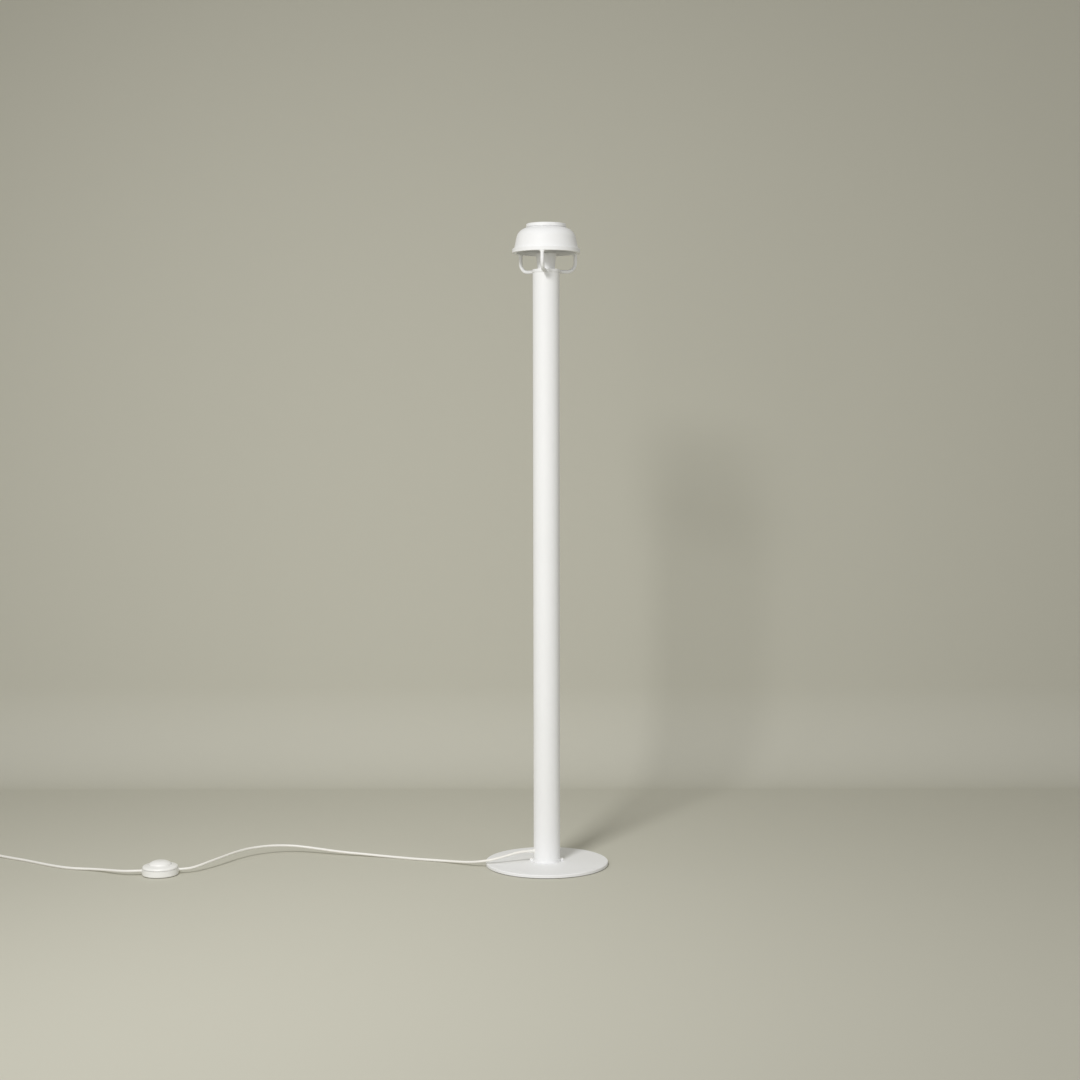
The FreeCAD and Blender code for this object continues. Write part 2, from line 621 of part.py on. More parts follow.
def dome():
    """Pressed dome, the grub screws that hold it, and the turned cap with its screw and washer."""
    start = Vector(DOME_R - DOME_WALL - GRUB_LEN - FIT, 0, RIM_Z + GRUB_RISE)
    grub = rod(M3_R, start, start + Vector(GRUB_LEN, 0, 0))
    grub = grub.cut(rod(GRUB_KEY_R, start - Vector(CUT, 0, 0), start + Vector(M3_KEY_DEPTH, 0, 0)))
    crown_under = CROWN_Z - DOME_WALL
    boss_foot = crown_under + FIT
    cap_top = CROWN_Z + CAP_NECK_H + CAP_H
    thread = disc(M4_R + FIT, boss_foot - CUT, M4_DEPTH + CUT)
    cap_foot = CROWN_Z + CAP_NECK_H
    cap = spun([(0, boss_foot, 0), (CAP_BOSS_R, boss_foot, 0), (CAP_BOSS_R, CROWN_Z, 0),
                (CAP_NECK_R, CROWN_Z, 0), (CAP_NECK_R, cap_foot, 0), (CAP_R, cap_foot, CAP_UNDER_EDGE),
                (CAP_R, cap_top, CAP_EDGE), (0, cap_top, 0)]).cut(thread)
    cap_washer = washer(CAP_WASHER_R, M4_R + FIT, crown_under - WASHER_H, WASHER_H)
    cap_screw = screw(M4_R, M4_LEN, M4_HEAD_R, M4_HEAD_H, M3_KEY_R)
    cap_screw.rotate(Vector(0, 0, 0), Vector(1, 0, 0), 180)
    cap_screw.translate(UP * (crown_under - WASHER_H))
    return {
        "dome_shell": shell(dome_path(), DOME_WALL),
        "dome_cap": cap,
        "cap_washer": cap_washer,
        "cap_screw": cap_screw,
        "dome_grub_screws": Part.makeCompound(around(grub, BETWEEN_DEGS)),
    }


def light_source():
    """Tapered cup on the hub with its heat sink, board, emitter, lens and bezel."""
    def cup_r(z):
        """Outer radius of the cup at a height."""
        return CUP_FOOT_R + (CUP_TOP_R - CUP_FOOT_R) * (z - HUB_Z) / CUP_H

    seat_z = HUB_Z + SINK_SEAT
    lens_z = CUP_BRIM_Z - LENS_SEAT
    sink_r = cup_r(seat_z) - CUP_WALL
    lens_r = cup_r(lens_z) - CUP_WALL
    floor_z = HUB_Z + CUP_FLOOR
    cup = spun([(0, HUB_Z, 0), (CUP_FOOT_R, HUB_Z, CUP_EDGE), (CUP_TOP_R, CUP_BRIM_Z, CUP_EDGE),
                (lens_r, CUP_BRIM_Z, 0), (lens_r, lens_z, 0), (sink_r, lens_z, 0), (sink_r, seat_z, 0),
                (sink_r - LEDGE, seat_z, 0), (sink_r - LEDGE, floor_z, CUP_FLOOR_EDGE), (0, floor_z, 0)])
    cup = cup.cut(bore(ROD_R + FIT, HUB_Z, CUP_FLOOR))
    lead_at = polar(HEAD_LEAD_AT, EXIT_DEG)
    cup = cup.cut(bore(HEAD_LEAD_R + SEAT_GAP, HUB_Z, CUP_FLOOR, lead_at))

    sink = disc(sink_r - FIT, seat_z, SINK_H)
    fin_count = int(SINK_FIN_SPAN / SINK_FIN_PITCH)
    envelope = disc(SINK_FIN_SPAN, seat_z - SINK_FIN_H, SINK_FIN_H)
    for i in range(-fin_count, fin_count + 1):
        fin_foot = Vector(i * SINK_FIN_PITCH, 0, seat_z - SINK_FIN_H)
        fin = block(SINK_FIN, SINK_FIN_SPAN * 2, SINK_FIN_H, fin_foot)
        sink = sink.fuse(fin.common(envelope))
    sink = sink.cut(bore(HEAD_LEAD_R + SEAT_GAP, seat_z - SINK_FIN_H, SINK_H + SINK_FIN_H, lead_at))

    board_z = seat_z + SINK_H
    emitter_z = board_z + BOARD_H
    screw_at = (BOARD_R + EMITTER_R) / 2
    screw_degs = [EXIT_DEG + 90, EXIT_DEG - 90]
    board = disc(BOARD_R, board_z, BOARD_H)
    for deg in screw_degs:
        hole = disc(M3_R + FIT, seat_z + BOARD_SCREW_SKIN, SINK_H + BOARD_H, polar(screw_at, deg))
        board = board.cut(hole)
        sink = sink.cut(hole)
    board_screw = screw(M3_R, BOARD_H + SINK_H - BOARD_SCREW_SKIN - FIT, M3_HEAD_R, M3_HEAD_H, M3_KEY_R)
    board_screw.translate(polar(screw_at, 0, emitter_z))

    lens_edge = lens_r - SLIP_FIT
    lens_side = lens_r - BEZEL_W - SEAT_GAP
    lens = spun([(0, lens_z + LENS_RISE - LENS_WALL, 0), (lens_side - LENS_WALL, lens_z + LENS_SHOULDER, 0),
                 (lens_side - LENS_WALL, lens_z, 0), (lens_edge, lens_z, 0),
                 (lens_edge, lens_z + LENS_WALL, 0), (lens_side, lens_z + LENS_WALL, 0),
                 (lens_side, lens_z + LENS_SHOULDER + LENS_WALL, LENS_EDGE),
                 (0, lens_z + LENS_RISE, 0)])
    bezel_z = lens_z + LENS_WALL
    bezel = washer(lens_edge, lens_r - BEZEL_W, bezel_z, BEZEL_H)
    return {
        "lamp_cup": cup,
        "heat_sink": sink,
        "led_board": board,
        "led_emitter": disc(EMITTER_R, emitter_z, EMITTER_H),
        "board_screws": Part.makeCompound(around(board_screw, screw_degs)),
        "led_lens": lens,
        "lens_bezel": bezel,
    }


# ---------------------------------------------------------------- wound wire
def biarc(start, way_in, end, way_out):
    """Two arcs that leave the start one way, meet smoothly and arrive at the end the other way."""
    across = end - start
    ways = way_in + way_out
    spread = 2 * (1 - way_in.dot(way_out))
    lead_in = across.dot(ways)
    reach = (math.sqrt(lead_in ** 2 + spread * across.dot(across)) - lead_in) / spread
    near = start + way_in * reach
    far = end - way_out * reach
    joint = (near + far) / 2
    arcs = []
    for first, corner, last in ((start, near, joint), (joint, far, end)):
        weight = math.cos((corner - first).getAngle(last - corner) / 2)
        middle = (first + corner * (2 * weight) + last) / (2 + 2 * weight)
        arcs.append(Part.Arc(first, middle, last).toShape())
    return arcs


def heading(curve, angle):
    """Direction of a curve at an angle along it."""
    step = 1e-4
    return (curve(angle + step) - curve(angle - step)).normalize()


def wound(curve, turns, lead_in=0.0):
    """Edges that follow a winding curve by quarter turns, with straight ends of a given length."""
    count = int(turns * 4)
    angles = [2 * math.pi * turns * i / count for i in range(count + 1)]
    edges = []
    for a, b in zip(angles, angles[1:]):
        edges += biarc(curve(a), heading(curve, a), curve(b), heading(curve, b))
    if lead_in:
        first, last = curve(angles[0]), curve(angles[-1])
        entry = first - heading(curve, angles[0]) * lead_in
        leave = last + heading(curve, angles[-1]) * lead_in
        edges = [Part.LineSegment(entry, first).toShape()] + edges + [Part.LineSegment(last, leave).toShape()]
    return edges


# ---------------------------------------------------------------- foot switch
def screw_up(z, length):
    """A screw driven upwards from below, whose head bears at height z."""
    upright = screw(M3_R, length, M3_HEAD_R, M3_HEAD_H, M3_KEY_R)
    upright.rotate(Vector(0, 0, 0), Vector(1, 0, 0), 180)
    upright.translate(UP * z)
    return upright


def switch_housing():
    """Lower housing with feet, posts and bosses, and the cover that is screwed to it from below."""
    lower = shell([(0, SWITCH_FOOT, 0), (SWITCH_R, SWITCH_FOOT, SWITCH_EDGE), (SWITCH_R, SEAM_RISE, 0)],
                  SWITCH_WALL)
    foot_degs = [deg + 180 for deg in BOSS_DEGS]
    foot_h = SWITCH_FOOT + SWITCH_FOOT_DEPTH
    feet = around(disc(SWITCH_FOOT_R, 0, foot_h, Vector(SWITCH_FOOT_AT, 0, 0)), foot_degs)
    for recess in around(disc(SWITCH_FOOT_R + FIT, 0, foot_h, Vector(SWITCH_FOOT_AT, 0, 0)), foot_degs):
        lower = lower.cut(recess)

    cover_r = SWITCH_R - COVER_INSET
    cover_z = SEAM_RISE + SEAT_GAP
    side_z = cover_z + COVER_SIDE
    slope = (COVER_H - COVER_SIDE) / (cover_r - COVER_MOUTH_R)
    within = COVER_MOUTH_R - SWITCH_WALL
    cover = shell([(cover_r, cover_z, 0), (cover_r, side_z, COVER_SHOULDER_R),
                   (within, side_z + slope * (cover_r - within), 0)], SWITCH_WALL)
    cover = cover.cut(bore(COVER_MOUTH_R, cover_z, COVER_H))

    head_z = SWITCH_FOOT + M3_HEAD_H + SEAT_GAP
    under_r = cover_r - SWITCH_WALL / 2
    under = spun([(0, cover_z, 0), (under_r, cover_z, 0), (under_r, side_z, 0),
                  (0, side_z + slope * cover_r, 0)])
    lower_boss = disc(BOSS_R, SWITCH_FLOOR_Z - FIT, SEAM_RISE - SWITCH_FLOOR_Z + FIT, Vector(BOSS_AT, 0, 0))
    upper_boss = disc(BOSS_R, cover_z, COVER_H, Vector(BOSS_AT, 0, 0)).common(under)
    head_hole = disc(M3_HEAD_R + SEAT_GAP, 0, head_z, Vector(BOSS_AT, 0, 0))
    shank_hole = disc(M3_R + FIT, 0, cover_z + HOUSING_SCREW_IN + FIT, Vector(BOSS_AT, 0, 0))
    for deg in BOSS_DEGS:
        lower = lower.fuse(turned(lower_boss, deg)).cut(turned(head_hole.fuse(shank_hole), deg))
        cover = cover.fuse(turned(upper_boss, deg)).cut(turned(shank_hole, deg))
    housing_screw = screw_up(head_z, cover_z + HOUSING_SCREW_IN - head_z)
    housing_screw.translate(Vector(BOSS_AT, 0, 0))

    post_top = CORD_RISE + CORD_R + FIT
    for side in (-1, 1):
        entry = rod(CORD_R + SEAT_GAP, Vector(side * (SWITCH_R - SWITCH_WALL - CUT), 0, CORD_RISE),
                    Vector(side * (SWITCH_R + CUT), 0, CORD_RISE))
        lower = lower.cut(entry)
        for flank in (-1, 1):
            at = Vector(side * CLAMP_AT, flank * CLAMP_SCREW_AT, 0)
            post = disc(POST_R, SWITCH_FLOOR_Z - FIT, post_top - SWITCH_FLOOR_Z + FIT, at)
            pilot = disc(M3_R + FIT, post_top - CLAMP_SCREW_LEN, CLAMP_SCREW_LEN + CUT, at)
            lower = lower.fuse(post).cut(pilot)
    return {
        "switch_base": lower,
        "switch_feet": Part.makeCompound(feet),
        "switch_cover": cover,
        "switch_screws": Part.makeCompound(around(housing_screw, BOSS_DEGS)),
    }


def switch_wiring():
    """Latch on the floor of the housing, its terminals, and the clamped ends of the lead."""
    latch = block(LATCH_X, LATCH_Y, LATCH_H, UP * SWITCH_FLOOR_Z)
    latch = latch.cut(disc(PLUNGER_R + RUNNING_FIT, LATCH_Z - LATCH_BORE_DEPTH, LATCH_BORE_DEPTH + CUT))
    clamp_z = CORD_RISE + CORD_R + FIT
    terminals, clamps, clamp_screws, sheaths, cores = [], [], [], [], []
    for side in (-1, 1):
        middle = side * (LATCH_X + TERMINAL_X) / 2
        terminals.append(block(TERMINAL_X, TERMINAL_Y, TERMINAL_H, Vector(middle, 0, LATCH_Z - TERMINAL_H)))
        outer = Vector(side * SWITCH_R, 0, CORD_RISE)
        inner = Vector(side * (SWITCH_R - SHEATH_IN), 0, CORD_RISE)
        sheaths.append(rod(CORD_R, outer, inner))
        clamp = block(CLAMP_X, CLAMP_Y, CLAMP_H, Vector(side * CLAMP_AT, 0, clamp_z))
        for flank in (-1, 1):
            at = Vector(side * CLAMP_AT, flank * CLAMP_SCREW_AT, 0)
            clamp = clamp.cut(bore(M3_R + FIT, clamp_z, CLAMP_H, at))
            held = screw(M3_R, CLAMP_H + CLAMP_SCREW_LEN - 2 * FIT, POST_R - FIT, M3_HEAD_H, M3_KEY_R)
            held.translate(at + UP * (clamp_z + CLAMP_H))
            clamp_screws.append(held)
            end = Vector(side * (LATCH_X / 2 + TERMINAL_X), flank * CORE_AT, CORD_RISE)
            cores.append(rod(CORE_R, Vector(inner.x, flank * CORE_AT, CORD_RISE), end))
        clamps.append(clamp)
    return {
        "switch_latch": latch,
        "switch_terminals": Part.makeCompound(terminals),
        "cord_clamps": Part.makeCompound(clamps),
        "clamp_screws": Part.makeCompound(clamp_screws),
        "sheath_ends": Part.makeCompound(sheaths),
        "cores": Part.makeCompound(cores),
    }


def switch_button():
    """Domed push button with its flange, stem and plunger, and the spring that lifts it."""
    button_r = COVER_MOUTH_R - SEAT_GAP
    cover_r = SWITCH_R - COVER_INSET
    slope = (COVER_H - COVER_SIDE) / (cover_r - COVER_MOUTH_R)
    flange_r = button_r + FLANGE_W
    side_z = SEAM_RISE + SEAT_GAP + COVER_SIDE
    ceiling = side_z + slope * (cover_r - flange_r) - SWITCH_WALL * math.hypot(1, slope)
    flange_z = ceiling - BUTTON_SLACK - FLANGE_H
    button = shell([(button_r, flange_z, 0), (button_r, BUTTON_SIDE_RISE, BUTTON_EDGE_R),
                    (BUTTON_CROWN_R, BUTTON_TOP_RISE, BUTTON_CROWN_BLEND), (0, BUTTON_TOP_RISE, 0)],
                   BUTTON_WALL)
    plunger_top = LATCH_Z + BUTTON_TRAVEL + STEM_SLACK
    stem = disc(STEM_R, plunger_top, BUTTON_TOP_RISE - BUTTON_WALL - plunger_top)
    plunger_foot = LATCH_Z - PLUNGER_IN
    plunger = disc(PLUNGER_R, plunger_foot, plunger_top - plunger_foot + FIT)
    web = disc(WEB_R, flange_z, FLANGE_H)
    flange = washer(flange_r, button_r - BUTTON_WALL, flange_z, FLANGE_H)
    button = button.fuse([flange, web, stem, plunger])

    spring_foot = LATCH_Z + SEAT_GAP + SPRING_WIRE_R
    spring_h = flange_z - SEAT_GAP - SPRING_WIRE_R - spring_foot

    def helix(angle):
        """Centre of the spring's wire."""
        rise = spring_foot + spring_h * angle / (2 * math.pi * SPRING_TURNS)
        return Vector(SPRING_R * math.cos(angle), SPRING_R * math.sin(angle), rise)

    return {
        "switch_button": button,
        "button_spring": pipe(wound(helix, SPRING_TURNS), SPRING_WIRE_R),
    }


# ---------------------------------------------------------------- lead
def coil_centre(angle):
    """Centre of the coiled lead: it winds in on the floor layer, climbs as it reverses, and winds out."""
    away = angle - math.pi * COIL_TURNS
    radius = COIL_INNER_R + COIL_PITCH / (2 * math.pi) * math.hypot(away, COIL_SOFTNESS)
    share = min(max(away / math.pi + 0.5, 0.0), 1.0)
    rise = COIL_Z + COIL_PITCH * share * share * (3 - 2 * share)
    bearing = math.radians(COIL_START_DEG) + angle
    return COIL_AT + Vector(radius * math.cos(bearing), radius * math.sin(bearing), rise)


def coil_headings():
    """Directions in which the lead enters and leaves the coil."""
    return heading(coil_centre, 0), heading(coil_centre, 2 * math.pi * COIL_TURNS)


def coil_ends():
    """Where the coil's straight ends start and stop."""
    into_coil, out_of_coil = coil_headings()
    start = coil_centre(0) - into_coil * 2 * CORD_R
    stop = coil_centre(2 * math.pi * COIL_TURNS) + out_of_coil * 2 * CORD_R
    return start, stop


def coil_gap():
    """Least distance between two turns of the coil, measured on points along its centre."""
    step = math.radians(4)
    points = [coil_centre(i * step) for i in range(int(2 * math.pi * COIL_TURNS / step) + 1)]
    half_turn = int(math.pi / step)
    apart = [(p - q).Length for i, p in enumerate(points) for q in points[i + half_turn:]]
    return min(apart) - 2 * CORD_R


def free_cord(name, points):
    """Tube along hand-placed points, with every bend as wide as its two runs allow."""
    radii = [0]
    for back, point, ahead in zip(points, points[1:], points[2:]):
        turn = (point - back).getAngle(ahead - point)
        radii.append(BEND_SHARE * min((point - back).Length, (ahead - point).Length) / math.tan(turn / 2))
    radii.append(0)
    edges = path_edges(points, radii)
    tube = pipe(edges, CORD_R)
    length = sum(edge.Length for edge in edges)
    share = tube.Volume / (math.pi * CORD_R ** 2 * length)
    bends = [round(r) for r in radii[1:-1]]
    print(name, "length", round(length), "bend radii", bends, "volume", round(share, 4))
    return tube


def lead():
    """Free stretches of the mains lead and its tied coil."""
    tip = COLUMN_R + GLAND_REACH
    switch_in = SWITCH_AT + polar(SWITCH_R, SWITCH_DEG, CORD_RISE)
    switch_out = SWITCH_AT - polar(SWITCH_R, SWITCH_DEG, -CORD_RISE)
    coil_in, coil_out = coil_ends()
    into_coil, out_of_coil = coil_headings()
    to_switch = [polar(tip, EXIT_DEG, EXIT_RISE), polar(tip + EXIT_RUN, EXIT_DEG, EXIT_RISE)]
    to_switch += [Vector(*p) for p in (
        (-92, -36, 23.5), (-128, -50, 16), (-172, -38, 8), (-236, -9, 3.4), (-303, 3, 3.05), (-370, 19, 3.1),
        (-435, 28, 5.5), (-490, 31, 8.5), (-545, 40, 12.5), (-598, 44, 17), (-648, 28, 20), (-690, -8, 21),
        (-714, -50, 20.5), (-731, -94, 19), (-747, -131, 17.5), (-761, -155.5, 14.6), (-774, -171.5, 12))]
    to_switch += [switch_in + polar(ENTRY_RUN, SWITCH_DEG), switch_in]
    to_coil = [switch_out, switch_out - polar(ENTRY_RUN, SWITCH_DEG)]
    to_coil += [Vector(*p) for p in (
        (-918.1, -215, 9.8), (-943.4, -208, 8.6), (-972.4, -193.5, 6.3), (-1010, -180, 3.9),
        (-1060, -176, 3.05), (-1120, -152, 3.05), (-1190, -113, 3.05), (-1250, -87, 3.1))]
    to_coil += [coil_in - into_coil * COIL_IN_RUN, coil_in]
    to_plug = [coil_out, coil_out + out_of_coil * COIL_OUT_RUN]
    to_plug += [Vector(*p) for p in (
        (-1387.8, -116.5, 9.9), (-1384, -134, 8.3), (-1372.6, -148, 7.2))]
    plug_in = PLUG_AT + UP * (PLUG_THICK / 2)
    to_plug += [plug_in - polar(ENTRY_RUN, PLUG_DEG), plug_in]
    coil_edges = wound(coil_centre, COIL_TURNS, 2 * CORD_R)
    print("coil length", round(sum(edge.Length for edge in coil_edges)), "least gap", round(coil_gap(), 2))

    angle = math.radians(TIE_DEG - COIL_START_DEG) % (2 * math.pi)
    radii = []
    while angle <= 2 * math.pi * COIL_TURNS:
        at = coil_centre(angle) - COIL_AT
        radii.append(math.hypot(at.x, at.y))
        angle += 2 * math.pi
    slack = CORD_R + SEAT_GAP
    # the band is straight across its width, where the cord curves and winds on
    sagitta = min(radii) - math.sqrt(min(radii) ** 2 - (TIE_W / 2) ** 2)
    drift = COIL_PITCH * TIE_W / 2 / (2 * math.pi * min(radii))
    inner, outer = min(radii) - slack - sagitta - drift, max(radii) + slack + drift
    low, high = COIL_Z - slack, COIL_TOP_Z + slack
    hole = outline([(inner, low, slack), (outer, low, slack), (outer, high, slack), (inner, high, slack)])
    band = outline([(inner - TIE, low - TIE, slack + TIE), (outer + TIE, low - TIE, slack + TIE),
                    (outer + TIE, high + TIE, slack + TIE), (inner - TIE, high + TIE, slack + TIE)])
    tie = band.cut(hole).extrude(Vector(0, TIE_W, 0))
    tie.translate(Vector(0, -TIE_W / 2, 0))
    tab = block(TIE_TAB, TIE_W, TIE, Vector((inner + outer) / 2, 0, high + TIE))
    return {
        "cord_to_switch": free_cord("cord_to_switch", to_switch),
        "cord_to_coil": free_cord("cord_to_coil", to_coil),
        "cord_coil": pipe(coil_edges, CORD_R),
        "cord_to_plug": free_cord("cord_to_plug", to_plug),
        "coil_tie": turned(tie.fuse(tab), TIE_DEG, COIL_AT),
    }


def plug():
    """Flat two-pin plug with its grooved relief."""
    taper = [(0, 0, 0), (RELIEF_TIP_R, 0, RELIEF_TIP_EDGE)]
    step = RELIEF_LEN / (RELIEF_GROOVES + 1)
    for i in range(1, RELIEF_GROOVES + 1):
        radius = RELIEF_TIP_R + (RELIEF_R - RELIEF_TIP_R) * i / (RELIEF_GROOVES + 1)
        low, high = i * step - RELIEF_GROOVE_W / 2, i * step + RELIEF_GROOVE_W / 2
        taper += [(radius, low, 0), (radius - RELIEF_GROOVE_DEPTH, low, 0),
                  (radius - RELIEF_GROOVE_DEPTH, high, 0), (radius, high, 0)]
    taper += [(RELIEF_R, RELIEF_LEN, 0), (0, RELIEF_LEN, 0)]
    relief = spun(taper)
    relief.rotate(Vector(0, 0, 0), Vector(0, 1, 0), 90)
    relief.translate(UP * (PLUG_THICK / 2))

    face_x = RELIEF_LEN + PLUG_LEN
    half = PLUG_WIDE / 2
    right = [(RELIEF_LEN, -PLUG_NECK_WIDE / 2, PLUG_NECK_CORNER),
             (RELIEF_LEN + PLUG_NECK_LEN, -half, PLUG_CORNER_R), (face_x, -half, PLUG_FACE_CORNER)]
    left = [(x, -y, rounding) for x, y, rounding in right[::-1]]
    body = plate_of(right + left, 0, PLUG_THICK)
    rims = [edge for edge in body.Edges if edge.BoundBox.ZLength < RUNNING_FIT]
    body = body.makeChamfer(PLUG_EDGE, rims)
    pins = []
    for side in (-1, 1):
        at = Vector(face_x, side * PIN_SPACING / 2, PLUG_THICK / 2)
        bare = at + Vector(PIN_LEN - PIN_BARE, 0, 0)
        root = at - Vector(PIN_ROOT, 0, 0)
        body = body.fuse(rod(PIN_SLEEVE_R, at - Vector(CUT, 0, 0), bare))
        body = body.cut(rod(PIN_CORE_R + RUNNING_FIT, root, bare + Vector(CUT, 0, 0)))
        tip = rod(PIN_R, bare, at + Vector(PIN_LEN, 0, 0))
        pins.append(tip.fuse(rod(PIN_CORE_R, root, bare + Vector(CUT, 0, 0))))
    parts = {"plug_relief": relief, "plug_body": body, "plug_pins": Part.makeCompound(pins)}
    return {name: turned(shape, PLUG_DEG, PLUG_AT) for name, shape in parts.items()}


# ---------------------------------------------------------------- output
nodes = {}
nodes.update(base())
nodes.update(foot_collar())
nodes.update(column())
nodes.update(column_inside())
nodes["cage"] = cage()
nodes.update(dome())
nodes.update(light_source())
for switch_parts in (switch_housing(), switch_wiring(), switch_button()):
    nodes.update({name: turned(shape, SWITCH_DEG, SWITCH_AT) for name, shape in switch_parts.items()})
nodes.update(lead())
nodes.update(plug())

for name, shape in nodes.items():
    if not shape.isValid():
        print(name, "is not valid")
    shape.exportStep("parts/" + name + ".step")
print(len(nodes), "nodes")
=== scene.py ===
"""Looks of a mushroom floor lamp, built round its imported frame.

Lengths are metres in the frame's own axes: +Z is up, and the origin is the centre of the base, on the floor.
A turned piece is a profile of (radius, height) points carried round an axis, a bar is a ring carried along a
path, and a slab is an outline drawn in and lifted row by row. All of them are worked out as whole arrays.
"""
from __future__ import annotations

import json
import logging
import math
from dataclasses import dataclass
from enum import Enum
from typing import Any, Sequence

import bpy
import numpy as np
from mathutils import Matrix, Vector

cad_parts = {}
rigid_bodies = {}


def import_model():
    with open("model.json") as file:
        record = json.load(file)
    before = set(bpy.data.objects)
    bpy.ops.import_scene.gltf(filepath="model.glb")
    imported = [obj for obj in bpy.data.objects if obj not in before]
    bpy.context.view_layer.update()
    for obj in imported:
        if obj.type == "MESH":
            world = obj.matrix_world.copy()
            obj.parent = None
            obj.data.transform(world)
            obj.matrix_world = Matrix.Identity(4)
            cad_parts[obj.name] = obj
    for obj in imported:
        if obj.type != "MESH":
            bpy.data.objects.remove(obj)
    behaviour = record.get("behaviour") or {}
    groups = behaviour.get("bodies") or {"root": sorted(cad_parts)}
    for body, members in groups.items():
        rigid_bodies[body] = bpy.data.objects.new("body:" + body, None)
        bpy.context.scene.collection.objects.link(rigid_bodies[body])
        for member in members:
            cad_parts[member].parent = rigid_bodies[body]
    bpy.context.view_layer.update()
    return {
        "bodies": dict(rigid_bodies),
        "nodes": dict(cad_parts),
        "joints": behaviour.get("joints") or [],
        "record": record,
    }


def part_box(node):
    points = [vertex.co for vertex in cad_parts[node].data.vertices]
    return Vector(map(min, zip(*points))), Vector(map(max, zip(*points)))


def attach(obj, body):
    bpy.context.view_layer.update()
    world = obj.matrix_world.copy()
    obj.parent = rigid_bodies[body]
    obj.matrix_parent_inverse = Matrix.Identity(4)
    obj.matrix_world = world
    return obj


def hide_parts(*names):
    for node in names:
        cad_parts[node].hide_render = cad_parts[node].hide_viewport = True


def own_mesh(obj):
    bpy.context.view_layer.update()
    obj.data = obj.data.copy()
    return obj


log = logging.getLogger("lamp")
MM = 0.001
TAU = 2.0 * math.pi
SLIP = 0.2 * MM
ROD_BORE = 5.15 * MM
SPIGOT = 5.0 * MM
Corner = tuple[float, float, float]
Colour = tuple[float, float, float]


class Body(Enum):
    """Bodies of the frame that a piece can ride on."""

    LAMP = "lamp"
    BUTTON = "button"


class Slot(Enum):
    """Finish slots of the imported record."""

    COAT = "white_coat"
    FELT = "felt"
    ZINC = "zinc_steel"
    WHITE_SCREW = "white_screw"
    FIN = "fin_aluminium"
    BOARD = "board_white"
    PHOSPHOR = "phosphor"
    OPAL = "opal"
    MOULDING = "white_moulding"
    SWITCH = "switch_white"
    CORD = "cord_white"
    FOOT = "foot_rubber"
    LATCH = "latch_black"
    BRASS = "terminal_brass"
    NICKEL = "pin_nickel"
    CORE = "core_brown"
    TIE = "tie_white"


class Grain(Enum):
    """Fine relief of a finish."""

    PEEL = "peel"
    SATIN = "satin"
    SMOOTH = "smooth"
    BRUSHED = "brushed"
    FIBRE = "fibre"
    WOVEN = "woven"


# ---------------------------------------------------------------- surfaces
@dataclass
class Surface:
    """Closed surface as points, faces of one size per array, and a pair of surface lengths per face corner."""

    points: np.ndarray
    faces: list[np.ndarray]
    lengths: list[np.ndarray]

    def facing_out(self) -> Surface:
        """Turns every face round if the sum of their triple products, six times the volume, is negative."""
        volume = 0.0
        for face in self.faces:
            for i in range(1, face.shape[1] - 1):
                a, b, c = (self.points[face[:, k]] for k in (0, i, i + 1))
                volume += float(np.einsum("ij,ij->", a, np.cross(b, c)))
        if volume < 0:
            self.faces = [face[:, ::-1] for face in self.faces]
            self.lengths = [pair[:, ::-1] for pair in self.lengths]
        return self

    def placed(self, place: Matrix) -> Surface:
        """The surface carried by a rigid placement.

        Args:
            place: rotation and offset, as a 4 by 4 matrix.

        Returns:
            A new surface.
        """
        rows = np.array(place)
        return Surface(self.points @ rows[:3, :3].T + rows[:3, 3], self.faces, self.lengths)


def joined(surfaces: Sequence[Surface]) -> Surface:
    """One surface that holds several shells.

    Args:
        surfaces: the shells.

    Returns:
        Their points and faces together, with the faces' indices moved on.
    """
    starts = np.cumsum([0] + [len(shell.points) for shell in surfaces[:-1]])
    faces = [face + start for shell, start in zip(surfaces, starts) for face in shell.faces]
    lengths = [pair for shell in surfaces for pair in shell.lengths]
    return Surface(np.concatenate([shell.points for shell in surfaces]), faces, lengths)


